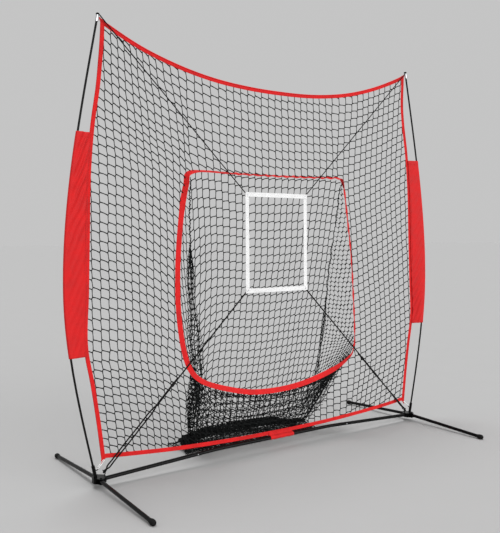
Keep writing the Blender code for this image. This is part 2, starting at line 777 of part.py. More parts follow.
def tip_cap(name, side):
    """Black cap with a neck that the upper cord is looped round."""
    neck = TIP_NECK_HEIGHT
    top = neck + TIP_DISC_HEIGHT
    profile = [(0, top), (TIP_DISC_RADIUS * 0.75, top - 0.0004), (TIP_DISC_RADIUS, top - 0.0014),
               (TIP_DISC_RADIUS, neck), (TIP_NECK_RADIUS, neck), (TIP_NECK_RADIUS, 0), (0, 0)]
    return finish(turned(name, profile, tip_place(side, TIP_FERRULE_LENGTH + GAP)), BLACK_PLASTIC)


# Net, binding and pocket

def edge_heights(low, high, count):
    return [float(z) for z in np.linspace(low, high, count)]


def side_binding(name, side):
    """Tape down the net's side, with a tab at its top that reaches the pole's ferrule."""
    heights = edge_heights(NET_LOW_Z, NET_HIGH_Z, 22)
    outer = [(side * net_side(z), z) for z in heights]
    seat = TIP_FERRULE_RADIUS + 2 * GAP
    tab_foot = NET_HIGH_Z - TAB_HEIGHT
    outer[-1:] = [(side * net_side(tab_foot), tab_foot),
                  (side * (bow(tab_foot) - seat), tab_foot + TAB_SHOULDER),
                  (side * (bow(NET_HIGH_Z) - seat), NET_HIGH_Z)]
    inner = [(side * (net_side(z) - TAPE_WIDTH), z) for z in reversed(heights)]
    return finish(flat(name, [outer + inner], TAPE_THICKNESS, TAPE_Y), RED_TAPE)


def level_binding(name, edge, height, rise):
    """Tape along the net's top or bottom, between the side tapes."""
    reach = net_side(height) - TAPE_WIDTH - 2 * GAP
    places = edge_heights(-reach, reach, 25)
    one = [(x, edge(x)) for x in places]
    other = [(x, edge(x) + rise * TAPE_WIDTH) for x in reversed(places)]
    return finish(flat(name, [one + other], TAPE_THICKNESS, TAPE_Y), RED_TAPE)


def mouth_binding(name):
    """Ring of tape round the pocket's mouth."""
    outer = offset_ring(MOUTH_CURVE, MOUTH_TAPE_WIDTH / 2)
    inner = offset_ring(MOUTH_CURVE, -MOUTH_TAPE_WIDTH / 2)
    rings = [[(point.x, point.y) for point in ring] for ring in (outer, inner)]
    return finish(flat(name, rings, TAPE_THICKNESS, TAPE_Y), RED_TAPE)


def net_plane():
    """Depth of the front netting's middle, just behind the tapes."""
    return TAPE_Y + TAPE_THICKNESS / 2 + GAP + STRAND / 2


def blend(start, end, share):
    return start + (end - start) * share


def net_edge(z):
    """Half width of the netting, under the middle of the side tape."""
    return net_side(z) - TAPE_WIDTH * 0.6


def net_top_panel():
    low = MOUTH_TOP_Z

    def place(u, v):
        x = blend(-1, 1, u)
        high_x = x * net_edge(NET_HIGH_Z - TAPE_WIDTH)
        low_x = x * net_edge(low)
        high = net_top(high_x) - TAPE_WIDTH * 0.6
        return blend(low_x, high_x, v), net_plane(), blend(low, high, v)

    return lattice("net_top_panel", 14, 4, place, BLACK_NETTING)


def net_side_panel(name, side):
    low = MOUTH_CORNER_Z + STRAND
    high = MOUTH_TOP_Z - 2 * STRAND

    def place(u, v):
        z = blend(low, high, v)
        inner = mouth_side(side, z) + side * STRAND
        return blend(inner, side * net_edge(z), u), net_plane(), z

    return lattice(name, 4, 7, place, BLACK_NETTING)


def net_bottom_panel():
    high = MOUTH_CORNER_Z - STRAND

    def place(u, v):
        x = blend(-1, 1, u)
        low_x = x * net_edge(NET_LOW_Z + TAPE_WIDTH)
        high_x = x * net_edge(high)
        top = min(high, mouth_foot(high_x) - STRAND)
        bottom = net_bottom(low_x) + TAPE_WIDTH * 0.6
        return blend(low_x, high_x, v), net_plane(), blend(bottom, top, v)

    return lattice("net_bottom_panel", 14, 3, place, BLACK_NETTING)


def pocket_back():
    def place(u, v):
        z = blend(POCKET_FOOT_Z, POCKET_TOP_Z, v)
        return blend(pocket_fold(-1, z), pocket_fold(1, z), u), pocket_y(z), z

    return lattice("pocket_back_net", 6, 9, place, BLACK_NETTING)


def pocket_side(name, side):
    """Side of the pocket, from the mouth's rim to the fold at the edge of its back."""
    def place(u, v):
        rim_z = blend(MOUTH_CORNER_Z, POCKET_TOP_Z - POCKET_SIDE_DROP, v)
        fold_z = blend(POCKET_FOOT_Z, POCKET_TOP_Z - POCKET_SIDE_DROP, v)
        rim = Vector((mouth_side(side, rim_z) - side * STRAND / 2, net_plane() + STRAND + GAP, rim_z))
        fold_x = pocket_fold(side, fold_z) + side * STRAND * 1.5
        fold = Vector((fold_x, pocket_y(fold_z) - STRAND * 0.3, fold_z))
        return rim.lerp(fold, u)

    return lattice(name, 2, 9, place, BLACK_NETTING)


def pocket_front():
    """Lower front of the pocket, from the mouth's lower edge back to the heap on the floor."""
    def place(u, v):
        x = blend(-1, 1, u)
        rim_x = x * POCKET_RIM_HALF_WIDTH
        rim = Vector((rim_x, net_plane() + STRAND + GAP, mouth_foot(rim_x)))
        foot = Vector((x * POCKET_FOOT_HALF_WIDTH, HEAP_FRONT_Y + POCKET_FOOT_INSET, POCKET_FOOT_Z))
        return foot.lerp(rim, v)

    return lattice("pocket_front_net", 6, 2, place, BLACK_NETTING)


def heap_height(u, v):
    """Height of the bunched netting, for u and v in -1 to 1 across and along it."""
    crown = 1.08 * heap_crest_height(u) * (1 - 0.45 * (v - heap_crest(u)) ** 2)
    bunch = 0.10 * math.sin(u * 11.0 + v * 2.0) + 0.07 * math.sin(u * 19.0 - v * 3.0)
    return HEAP_HEIGHT * min(1, max(0.14, crown * (1 + bunch)))


def pocket_heap(name):
    """Netting bunched on the floor at the pocket's foot, flat underneath."""
    bm = bmesh.new()
    bmesh.ops.create_grid(bm, x_segments=16, y_segments=4, size=1.0)
    middle = (HEAP_FRONT_Y + HEAP_BACK_Y) / 2
    half = (HEAP_BACK_Y - HEAP_FRONT_Y) / 2
    top = list(bm.verts)
    grown = bmesh.ops.extrude_face_region(bm, geom=list(bm.faces))
    base = [item for item in grown["geom"] if isinstance(item, bmesh.types.BMVert)]
    for vert in top + base:
        u = vert.co.x
        v = vert.co.y
        narrow = 1 - 0.05 * v * v
        vert.co.z = 0 if vert in base else heap_height(u, v)
        vert.co.x = u * HEAP_HALF_WIDTH * narrow
        vert.co.y = middle + v * half * (1 - 0.12 * abs(u) ** 4)
    return finish(mesh_object(name, bm), BLACK_NETTING)


# Side sleeves and bar tab

def sleeve_profile(z):
    """Cloth section at a height: in front of the tape, round the pole and back behind the tape."""
    wrap = POLE_FERRULE_RADIUS + SLEEVE_EASE + SLEEVE_CLOTH / 2
    reach = TAPE_THICKNESS / 2 + GAP + SLEEVE_CLOTH / 2
    inner = net_side(z) - SLEEVE_SEAM
    centre = bow(z)
    seam_y = TAPE_Y - reach
    front = [(blend(inner, centre, share), blend(seam_y, -wrap, share)) for share in (0, 0.25, 0.5, 0.75)]
    round_pole = []
    for step in range(5):
        turn = math.radians(-90 + 45 * step)
        round_pole.append((centre + wrap * math.cos(turn), wrap * math.sin(turn)))
    behind = TAPE_Y + reach
    edge = net_side(z) + 2 * SLEEVE_CLOTH
    back = [(blend(centre, edge, 0.5), blend(wrap, behind, 0.5)), (edge, behind), (inner, behind)]
    return front + round_pole + back


def sleeve(name, side):
    """Open cloth pocket over the pole, with slanting folds near one end."""
    rows = edge_heights(SLEEVE_LOW_Z, SLEEVE_HIGH_Z, 19)
    section = len(sleeve_profile(SLEEVE_LOW_Z))
    bm = bmesh.new()
    bmesh.ops.create_grid(bm, x_segments=section - 1, y_segments=len(rows) - 1, size=0.5)
    for vert in bm.verts:
        column = round((vert.co.x + 0.5) * (section - 1))
        row = round((vert.co.y + 0.5) * (len(rows) - 1))
        z = rows[row]
        x, y = sleeve_profile(z)[column]
        if 0 < column < 4:
            y -= sleeve_fold(side, x, z)
        vert.co = (side * x, y, z)
    made = mesh_object(name, bm)
    cloth = made.modifiers.new("cloth", "SOLIDIFY")
    cloth.thickness = SLEEVE_CLOTH
    cloth.offset = 0
    cloth.use_even_offset = True
    return finish(made, RED_CLOTH)


def sleeve_fold(side, x, z):
    """Forward swell of the slanting folds, near the left sleeve's top and the right one's foot."""
    slant, deepest = SLEEVE_FOLDS[side]
    share = (z - SLEEVE_LOW_Z) / (SLEEVE_HIGH_Z - SLEEVE_LOW_Z)
    wave = 0.5 + 0.5 * math.sin(2 * math.pi * (z - slant * (x - POLE_BELLY_X)) / FOLD_PITCH)
    near = math.exp(-((share - deepest) / FOLD_REACH) ** 2)
    return FOLD_DEPTH * wave * (0.3 + 0.7 * near)


def bar_tab(name):
    """Red cloth tab that wraps the bar and holds the net's bottom tape."""
    wrap = BAR_RADIUS + GAP + TAB_CLOTH / 2
    reach = TAPE_THICKNESS / 2 + GAP + TAB_CLOTH / 2
    seam = NET_BOTTOM_MIDDLE + TAPE_WIDTH * 0.8
    back_seam = NET_BOTTOM_MIDDLE + TAPE_WIDTH * 0.4
    section = [(TAPE_Y - reach, seam), (TAPE_Y - reach, BAR_CENTRE_Z + wrap + 0.004)]
    for step in range(11):
        turn = math.radians(70 + 26 * step)
        section.append((wrap * math.cos(turn), BAR_CENTRE_Z + wrap * math.sin(turn)))
    section.append((TAPE_Y + reach, BAR_CENTRE_Z + wrap * 0.75))
    section.append((TAPE_Y + reach, back_seam))
    bm = bmesh.new()
    bmesh.ops.create_grid(bm, x_segments=1, y_segments=len(section) - 1, size=0.5)
    for vert in bm.verts:
        y, z = section[round((vert.co.y + 0.5) * (len(section) - 1))]
        vert.co = (TAB_FROM_X if vert.co.x < 0 else TAB_TO_X, y, z)
    made = mesh_object(name, bm)
    cloth = made.modifiers.new("cloth", "SOLIDIFY")
    cloth.thickness = TAB_CLOTH
    cloth.offset = 0
    cloth.use_even_offset = True
    return finish(made, RED_TAPE)


# Strike zone

def zone_straps():
    """Four straps of webbing: the level ones lie in front of the upright ones."""
    half = ZONE_HALF_WIDTH
    back_y = STRAP_FRONT_Y + STRAP_THICKNESS + GAP
    levels = {"zone_top_strap": (ZONE_HIGH_Z - STRAP_WIDTH, ZONE_HIGH_Z),
              "zone_bottom_strap": (ZONE_LOW_Z, ZONE_LOW_Z + STRAP_WIDTH)}
    for name, (low, high) in levels.items():
        outline = [(-half, low), (half, low), (half, high), (-half, high)]
        finish(flat(name, [outline], STRAP_THICKNESS, STRAP_FRONT_Y), WHITE_WEBBING)
    for side_name, side in SIDES:
        inner = side * (half - STRAP_WIDTH)
        outer = side * half
        outline = [(inner, ZONE_LOW_Z), (outer, ZONE_LOW_Z), (outer, ZONE_HIGH_Z), (inner, ZONE_HIGH_Z)]
        name = "zone_" + side_name + "_strap"
        finish(flat(name, [outline], STRAP_THICKNESS, back_y), WHITE_WEBBING)


def zone_corner(side, height, radius):
    """Point where a cord lies behind a corner of the strike zone."""
    back = STRAP_FRONT_Y + STRAP_THICKNESS * 1.5 + GAP
    inward = STRAP_WIDTH * 0.5
    return Vector((side * (ZONE_HALF_WIDTH - inward), back + GAP + radius, height))


# Elastic cords

def upper_cord(name, side):
    """Cord from the strike zone's top corner to a loop round the pole tip's neck."""
    start = zone_corner(side, ZONE_HIGH_Z - STRAP_WIDTH * 0.5, UPPER_CORD_RADIUS)
    ring = TIP_NECK_RADIUS + GAP + UPPER_CORD_RADIUS
    frame = tip_place(1, TIP_FERRULE_LENGTH + GAP + TIP_NECK_HEIGHT / 2)
    across = Vector((1, 0, -POLE_TIP_SLOPE)).normalized()
    upward = Vector((POLE_TIP_SLOPE, 0, 1)).normalized()
    centre = frame.translation
    route = [(-0.034, -0.0066, -0.0215), (-0.024, -0.0068, -0.0115), (-0.016, -0.0070, -0.0040),
             (-0.009, -0.0070, -0.0006)]
    route = [centre + across * x + Vector((0, y, 0)) + upward * z for x, y, z in route]
    for step in range(11):
        turn = math.radians(-90 + 24 * step)
        route.append(centre + across * (ring * math.cos(turn)) + Vector((0, ring * math.sin(turn), 0)))
    route = [Vector((side * point.x, point.y, point.z)) for point in route]
    straight = [start.lerp(route[0], step / 6) for step in range(6)]
    return finish(tube(name, straight + route, UPPER_CORD_RADIUS, 2), BLACK_ELASTIC)


def lower_cord_line(side):
    """Start behind the strike zone, hook, length and upward direction of a lower cord."""
    start = zone_corner(side, ZONE_LOW_Z + STRAP_WIDTH * 0.5, LOWER_CORD_RADIUS)
    start.y = 0
    hook = cord_hook_centre(side)
    return start, hook, (start - hook).normalized()


def slider_centre(side):
    start, hook, upward = lower_cord_line(side)
    return hook + upward * SLIDER_FROM_HOOK


def lower_cord(name, side):
    """Cord through the slider, down round the hub's hook and back up to its tail above the slider."""
    start, hook, upward = lower_cord_line(side)
    ring = HOOK_WIRE + GAP + LOWER_CORD_RADIUS
    length = (start - hook).length
    front = zone_corner(side, 0, LOWER_CORD_RADIUS).y
    tail = (slider_centre(side) - hook).length + TAIL_LENGTH
    opening = through([(0.0, ring), (0.02, ring), (0.06, LOOP_SPREAD), (0.12, LOOP_SPREAD),
                       (0.42, STRAND_SPREAD), (0.45, STRAND_SPREAD), (0.48, STRAND_SPREAD), (length, STRAND_SPREAD)])
    turned_by = through(STRAND_TURN)
    square = Vector((-upward.z, 0, upward.x)) * side

    def apart(place):
        turn = math.radians(turned_by(place))
        return (Vector((0, math.cos(turn), 0)) + square * math.sin(turn)) * opening(place)

    points = []
    for place in (length, length - 0.12, tail + 0.06):
        y = blend(-STRAND_SPREAD, front, (place - tail) / (length - tail))
        points.append(hook + upward * place + Vector((0, y, 0)))
    reaches = [tail, 0.48, 0.45, 0.42, 0.40, 0.37, 0.34, 0.23, 0.12, 0.085, 0.07, 0.058, 0.045, 0.032, 0.02, 0.0]
    points += [hook + upward * place - apart(place) for place in reaches]
    for step in range(1, 8):
        turn = math.radians(22.5 * step)
        points.append(hook - Vector((0, ring * math.cos(turn), 0)) - upward * (ring * math.sin(turn)))
    points += [hook + upward * place + apart(place) for place in reversed(reaches)]
    return finish(tube(name, points, LOWER_CORD_RADIUS, 2), BLACK_ELASTIC)


def cord_slider(name, side):
    """Ribbed plastic lock with a hole for each strand of the lower cord."""
    start, hook, upward = lower_cord_line(side)
    centre = slider_centre(side)
    half = SLIDER_LENGTH / 2
    radius = SLIDER_RADIUS
    profile = [(0, half), (radius * 0.8, half), (radius, half * 0.75), (radius, half * 0.3),
               (radius * 0.88, half * 0.2), (radius * 0.88, -half * 0.2), (radius, -half * 0.3),
               (radius, -half * 0.75), (radius * 0.8, -half), (0, -half)]
    made = turned(name, profile, along(centre, upward))
    for strand, y in (("front", -STRAND_SPREAD), ("back", STRAND_SPREAD)):
        shift = Vector((0, y, 0))
        reach = upward * SLIDER_LENGTH
        bore = cylinder(name + "_" + strand, centre - reach + shift, centre + reach + shift,
                        LOWER_CORD_RADIUS + GAP, 12)
        cut(made, bore)
    finish(made, BLACK_PLASTIC)
    pivot(name + "_slide", centre, (made,))


def corner_loop(name, side):
    """White elastic ring from the net's lower corner to the hook on the pole socket."""
    half = LOOP_HALF_WIDTH
    hook = Vector(net_hook(1)[3]) + Vector((0, 0, LOOP_RISE))
    front = TAPE_Y - TAPE_THICKNESS / 2 - 2 * GAP
    corner_x = net_side(NET_LOW_Z) - LOOP_INSET
    corner = Vector((corner_x, front - LOOP_CORD_RADIUS - half, NET_LOW_Z - LOOP_DROP))
    down = (hook - corner).normalized()
    across = down.cross(Vector((0, 0, 1))).normalized()
    points = []
    for centre, first in ((hook, -90), (corner, 90)):
        for step in range(7):
            turn = math.radians(first + 30 * step)
            points.append(centre + down * (half * math.cos(turn)) + across * (half * math.sin(turn)))
    points = [Vector((side * point.x, point.y, point.z)) for point in points]
    return finish(tube(name, points, LOOP_CORD_RADIUS, 1, cyclic=True), WHITE_ELASTIC)


def build():
    for side_name, side in SIDES:
        hub_bracket(side_name + "_hub_bracket", side)
        pole_socket(side_name + "_pole_socket", side)
        outer_bar("base_bar_" + side_name, side)
        snap_button("bar_snap_button_" + side_name, side)
        for end_name, end in ENDS:
            leg(side_name, side, end_name, end)
        poles(side_name, side)
        tip_ferrule(side_name + "_tip_ferrule", side)
        tip_cap(side_name + "_tip_cap", side)
        side_binding("binding_" + side_name, side)
        net_side_panel("net_" + side_name + "_panel", side)
        pocket_side("pocket_" + side_name + "_net", side)
        sleeve(side_name + "_side_sleeve", side)
        upper_cord(side_name + "_upper_cord", side)
        lower_cord(side_name + "_lower_cord", side)
        cord_slider(side_name + "_cord_slider", side)
        corner_loop(side_name + "_corner_loop", side)
    centre_bar("base_bar_centre")
    level_binding("binding_top", net_top, NET_HIGH_Z, -1)
    level_binding("binding_bottom", net_bottom, NET_LOW_Z, 1)
    mouth_binding("mouth_binding")
    net_top_panel()
    net_bottom_panel()
    pocket_back()
    pocket_front()
    pocket_heap("pocket_base_net")
    bar_tab("bar_tab")
    zone_straps()


build()
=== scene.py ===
"""Dresses the frame of a pop-up practice net with its netting, tapes, sleeves, straps, cords and finishes.

Metres, +Z up, +X to the right seen from the front, +Y towards the catch pocket. The origin is on the floor,
midway between the legs.
"""

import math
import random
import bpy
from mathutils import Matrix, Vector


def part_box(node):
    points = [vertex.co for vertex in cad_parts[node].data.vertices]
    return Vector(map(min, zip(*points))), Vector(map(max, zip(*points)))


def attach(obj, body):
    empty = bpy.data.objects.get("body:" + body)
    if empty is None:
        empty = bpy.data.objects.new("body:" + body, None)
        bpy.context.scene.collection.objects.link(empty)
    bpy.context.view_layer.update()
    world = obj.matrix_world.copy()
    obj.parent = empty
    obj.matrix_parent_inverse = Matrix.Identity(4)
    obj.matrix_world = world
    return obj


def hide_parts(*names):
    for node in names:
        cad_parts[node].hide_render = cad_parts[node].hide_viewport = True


bl_info = {
    "name": "Practice Net Dressing",
    "version": (1, 0, 0),
    "blender": (4, 5, 0),
    "location": "View3D > Sidebar > Practice Net",
    "description": "Netting, tapes, sleeves, straps, cords and finishes of a pop-up practice net",
    "category": "Add Mesh",
}

import bmesh
import bpy
import numpy as np
from bpy.props import FloatProperty, FloatVectorProperty, IntProperty, PointerProperty
from mathutils import Matrix, Vector, noise

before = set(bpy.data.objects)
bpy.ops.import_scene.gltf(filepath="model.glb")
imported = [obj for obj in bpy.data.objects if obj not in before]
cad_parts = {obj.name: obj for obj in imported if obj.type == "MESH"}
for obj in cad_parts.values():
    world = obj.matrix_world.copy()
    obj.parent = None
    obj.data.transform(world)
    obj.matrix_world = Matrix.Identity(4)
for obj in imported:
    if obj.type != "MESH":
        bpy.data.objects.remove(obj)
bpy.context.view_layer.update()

SIDES = (("left", -1), ("right", 1))

# Bowed poles
SOCKET_TOP_X = 1.1088
SOCKET_TOP_Z = 0.1088
SOCKET_SLOPE = 0.22
POLE_BELLY_X = 1.233
POLE_BELLY_Z = 0.95
POLE_TIP_X = 1.0586
POLE_TIP_Z = 2.224
POLE_TIP_SLOPE = -0.20
POLE_WRAP = 0.0087
TIP_FERRULE_LENGTH = 0.033
TIP_NECK_RADIUS = 0.0038
TIP_NECK_MIDDLE = 0.0034

# Net's outline and its mouth
NET_LOW_Z = 0.130
NET_HIGH_Z = 2.247
NET_CORNER_X = 1.038
NET_TOP_CORNER_Z = 2.245
NET_TOP_SAG = 0.218
NET_BOTTOM_MIDDLE = 0.079
NET_BOTTOM_RISE = 0.050
NET_Y = 0.0198
NET_SIDE = ((0, 1.059), (0.092, 1.083), (0.175, 1.109), (0.250, 1.137), (0.387, 1.130), (0.524, 1.121),
            (0.657, 1.111), (0.760, 1.090), (0.860, 1.057), (0.926, 1.044), (1, 1.038))
MOUTH = ((-0.53, 1.545), (-0.25, 1.548), (0.05, 1.549), (0.35, 1.555), (0.488, 1.558), (0.514, 1.545),
         (0.534, 1.489), (0.550, 1.386), (0.590, 1.093), (0.606, 0.877), (0.616, 0.700), (0.619, 0.580),
         (0.612, 0.525), (0.580, 0.470), (0.44, 0.402),
         (0.17, 0.342), (-0.10, 0.335), (-0.31, 0.375), (-0.495, 0.447), (-0.578, 0.56), (-0.62, 0.79),
         (-0.625, 1.04), (-0.603, 1.30), (-0.572, 1.47))
MOUTH_STEPS = 12
MOUTH_SIDE_FROM_X = 0.49
MOUTH_FOOT_BELOW_Z = 0.56

# Catch pocket
POCKET_TOP_Z = 1.549
POCKET_FOOT_Z = 0.0876
POCKET_DEPTH = 0.366
POCKET_LEFT_FOLD = ((0.05, 0.330), (0.30, 0.332), (0.474, 0.352), (0.674, 0.400), (0.846, 0.437),
                    (1.06, 0.477), (1.217, 0.502), (1.374, 0.526), (1.549, 0.540))
POCKET_RIGHT_FOLD = ((0.05, 0.490), (0.30, 0.563), (0.60, 0.566), (0.79, 0.549), (0.99, 0.530), (1.38, 0.518),
                     (1.549, 0.506))
# Pocket's back: pitch of its columns, slopes of its rows along x, and lean of its columns in degrees
POCKET_PITCH = ((-0.56, 0.030), (-0.42, 0.0325), (-0.34, 0.0378), (-0.26, 0.0408), (-0.14, 0.0435),
                (0.14, 0.0425), (0.26, 0.041), (0.42, 0.0392), (0.62, 0.038))
POCKET_HEIGHTS = ((0.0, -0.05), (1.0, 1.72))
POCKET_SLOPE_TOP = ((-0.62, 0.25), (-0.50, 0.20), (-0.42, 0.13), (-0.34, -0.05), (-0.26, -0.15),
                    (-0.14, -0.10), (0.0, 0.01), (0.14, 0.03), (0.34, 0.03), (0.42, -0.05), (0.65, -0.10))
POCKET_SLOPE_MIDDLE = ((-0.62, 0.60), (-0.50, 0.55), (-0.42, 0.45), (-0.34, 0.13), (-0.26, -0.09),
                       (-0.14, -0.14), (0.0, -0.01), (0.14, 0.05), (0.34, 0.045), (0.42, -0.09),
                       (0.65, -0.20))
POCKET_SLOPE_LOW = ((-0.62, 0.70), (-0.42, 0.70), (-0.34, 0.50), (-0.26, 0.03), (-0.14, -0.12), (0.0, -0.04),
                    (0.14, 0.04), (0.34, 0.05), (0.42, -0.03), (0.65, -0.20))
POCKET_LEAN = ((0.0, 1.0), (0.45, 2.0), (0.70, 4.5), (1.0, 7.0), (1.30, 10.0), (1.75, 12.0))
POCKET_LEAN_SHARE = ((-0.62, 1.3), (-0.42, 1.2), (0.0, 1.0), (0.2, 0.85), (0.4, 0.45), (0.65, 0.3))
WALL_REACH = 0.58
HEAP_LOW, HEAP_HIGH = (Vector(corner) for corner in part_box("pocket_base_net"))
# Roll along the heap's crest: x, y, z and radius
HEAP_ROLL = ((-0.462, 0.265, 0.042, 0.036), (-0.43, 0.300, 0.046, 0.036), (-0.34, 0.350, 0.050, 0.031),
             (-0.20, 0.380, 0.054, 0.029), (0.0, 0.385, 0.055, 0.028), (0.14, 0.375, 0.054, 0.027),
             (0.25, 0.350, 0.050, 0.024), (0.35, 0.335, 0.032, 0.015), (0.44, 0.340, 0.028, 0.014))
ROLL_TURNS = 2.6

# Front netting: pitch of the columns along x, heights of the rows at the middle, slopes of the rows along x
COLUMN_PITCH = ((-1.22, 0.043), (-0.95, 0.042), (-0.80, 0.039), (-0.62, 0.039), (-0.40, 0.044), (0.0, 0.0465),
                (0.40, 0.047), (0.62, 0.045), (0.80, 0.0445), (1.20, 0.044))
ROW_HEIGHTS = ((0.0, -0.30), (0.388, 0.60), (1.0, 2.16))
ROW_SLOPE_TOP = ((-1.30, -0.24), (-0.98, -0.235), (-0.80, -0.34), (-0.62, -0.24), (-0.40, -0.09),
                 (-0.20, -0.07), (0.0, 0.0), (0.20, 0.04), (0.40, 0.05), (0.62, 0.35), (0.80, 0.39),
                 (0.95, 0.50), (1.30, 0.50))
ROW_SLOPE_MIDDLE = ((-1.30, -0.07), (-0.98, -0.07), (-0.80, -0.33), (-0.62, -0.44), (-0.40, -0.12),
                    (-0.20, -0.05), (0.0, 0.0), (0.20, 0.03), (0.40, 0.05), (0.62, 0.35), (0.80, 0.42),
                    (0.95, 0.49), (1.30, 0.49))
ROW_SLOPE_LOW = ((-1.30, -0.08), (-0.98, -0.08), (-0.80, -0.21), (-0.62, -0.30), (-0.40, -0.12), (0.0, 0.0),
                 (0.40, 0.10), (0.62, 0.28), (0.80, 0.38), (0.95, 0.40), (1.30, 0.40))

# Netting: sides of a strand, and columns and rows of the loose pieces at the pocket's foot
TWINE_SIDES = 5
LOWER_FRONT_CELLS = (28, 9)
APRON_CELLS = (24, 4)
GATHER_CELLS = (7, 13)
RIM_CELLS = (40, 1)
ROLL_CELLS = (54, 22)
FRONT_SLOPE_CELLS = ((36, 7), (31, 6))
BACK_SLOPE_CELLS = (34, 6)

# How far a netting joint leans: its share upwards and aside, and where it lies along its row
JOINT_UP = 0.80
JOINT_ASIDE = 0.60
JOINT_UP_LYING = 0.42
JOINT_ASIDE_LYING = 0.90

# Netting bunched below the mouth: top and foot of each gather, its half width and its turns
GATHERS = (((0.500, 0.060, 0.405), (0.385, 0.235, 0.050), 0.024, 1.9),
           ((-0.47, 0.12, 0.46), (-0.40, 0.30, 0.070), 0.030, 1.6))
# Netting bunched along the pocket's folds: columns, rows, height of its top, and its widths by height
FOLD_BUNCHES = {-1: ((8, 36, 1.16,
                      ((0.05, 0.11), (0.50, 0.085), (0.75, 0.055), (1.0, 0.030), (1.16, 0.010))),),
                1: ((2, 24, 0.82, ((0.05, 0.03), (0.40, 0.016), (0.82, 0.008))),)}
FOLD_LINES = {-1: (1, 30, 0.90, 1.50, 0.003), 1: (1, 36, 0.30, 1.50, 0.004)}
WALL_CELLS = {-1: (13, 33, 0.8, 1.0), 1: (21, 54, 0.50, 1.55)}

# Tapes and sleeves
TAPE_WIDTH = 0.022
TAPE_Y = 0.016
CORNER_LEAN = 0.0145
MOUTH_TAPE_WIDTH = 0.031
SLEEVE_LOW_Z = 0.635
SLEEVE_HIGH_Z = 1.70
SLEEVE_SEAM = 0.006
SLEEVE_FRONT_POINTS = 22
SLEEVE_FOLDS = {-1: (-2.1, 0.85), 1: (2.0, 0.12)}
FOLD_REACH = 0.28
BAR_Z = 0.068
BAR_WRAP = 0.0108
SHARP_ABOVE = 60

# Tab that folds round the bar, and the net's corner tabs
BAR_TAB_FRONT = 0.0040
BAR_TAB_BACK = 0.0030
BAR_TAB_THICKNESS = 0.0010
CORNER_TAB_THICKNESS = 0.0022
CORNER_TAB_HEIGHT = 0.022
FERRULE_GAP = 0.0095

# Stitches
TAPE_STITCH_LIFT = 0.0012
TAPE_STITCH_INSET = 0.004
SIDE_STITCH_TOP_Z = 2.22
MOUTH_STITCH_OFFSET = 0.0085
MOUTH_STITCH_LIFT = 0.0011
CLOTH_STITCH_LIFT = 0.0009
SLEEVE_STITCH_SHARE = 0.7
SEAM_ROWS = slice(70, 150)
SEAM_PITCH = 0.0085
SEAM_LENGTH = 0.0055
SEAM_RADIUS = 0.0009
BOX_STITCH_HALF = 0.0095
BOX_STITCH_PITCH = 0.0036
BOX_STITCH_LENGTH = 0.0026

# Strike zone and its cords
ZONE_HALF_WIDTH = 0.2165
ZONE_LOW_Z = 0.896
ZONE_HIGH_Z = 1.449
STRAP_WIDTH = 0.025
STRAP_THICKNESS = 0.002
STRAP_FRONT_Y = -0.0125
STRAP_BACK_Y = -0.0102
EYELET_OUTER = 0.0055
EYELET_INNER = 0.0032
CORD_BACK_Y = -0.0089
UPPER_CORD_DIAMETER = 0.0055
LOWER_CORD_DIAMETER = 0.0076
LOOP_CORD_DIAMETER = 0.003
CORD_GAP = 0.0003
HOOK_X = 1.0500
HOOK_Z = 0.0710
HOOK_RING = 0.0058
STRAND_SPREAD = 0.00345
LOOP_SPREAD = {-1: 0.0068, 1: 0.00306}
STRAND_TURN = ((0.0, 0), (0.006, 0), (0.028, 90), (0.06, 90), (0.37, 90),
               (0.43, 0), (0.45, 0), (0.48, 0), (1.5, 0))
TAIL_FROM_HOOK = 0.5825


# Sizes and colours that a user would change

def metres(name, description, default):
    return FloatProperty(name=name, description=description, default=default, subtype="DISTANCE",
                         unit="LENGTH", precision=5)


def tone(name, description, default):
    return FloatVectorProperty(name=name, description=description, default=default, subtype="COLOR", size=3,
                               min=0, max=1)


class NettingSizes(bpy.types.PropertyGroup):
    columns: IntProperty(name="Columns", description="Cells across the front net", default=55, min=8)
    rows: IntProperty(name="Rows", description="Cells up the front net", default=55, min=8)
    pocket_columns: IntProperty(name="Pocket columns", description="Cells across the pocket's back",
                                default=30)
    pocket_rows: IntProperty(name="Pocket rows", description="Cells up the pocket's back", default=37)
    twine: metres("Twine radius", "Half the twine's thickness", 0.0026)
    joint: metres("Joint length", "Length of the joint where strands cross", 0.0125)
    joint_radius: metres("Joint radius", "Half the thickness of a joint", 0.0024)
    slack: metres("Slack", "How far crossings stray from an even grid", 0.0016)


class SewingSizes(bpy.types.PropertyGroup):
    hem_cord: metres("Hem cord radius", "Roll along the tape's outer edge", 0.0033)
    stitch_pitch: metres("Stitch pitch", "Distance from one stitch to the next", 0.0065)
    stitch_length: metres("Stitch length", "Length of thread that shows", 0.0040)
    thread: metres("Thread radius", "Half the thread's thickness", 0.00045)
    cloth: metres("Cloth thickness", "Thickness of the sleeve's cloth", 0.0009)
    wrinkle: metres("Wrinkle depth", "Depth of the sleeve's slanting folds", 0.0105)
    wrinkle_pitch: metres("Wrinkle pitch", "Distance between slanting folds", 0.074)


class Colours(bpy.types.PropertyGroup):
    tape: tone("Tape", "Red of the binding tape", (0.67, 0.012, 0.013))
    cloth: tone("Cloth", "Red of the sleeves", (0.61, 0.008, 0.009))
    webbing: tone("Webbing", "White of the strike zone", (0.95, 0.95, 0.95))
    twine: tone("Twine", "Black of the netting", (0.006, 0.007, 0.007))
    cord: tone("Cord", "Black of the elastic cords", (0.005, 0.005, 0.005))
    paint: tone("Paint", "Black of the painted steel", (0.002, 0.002, 0.002))


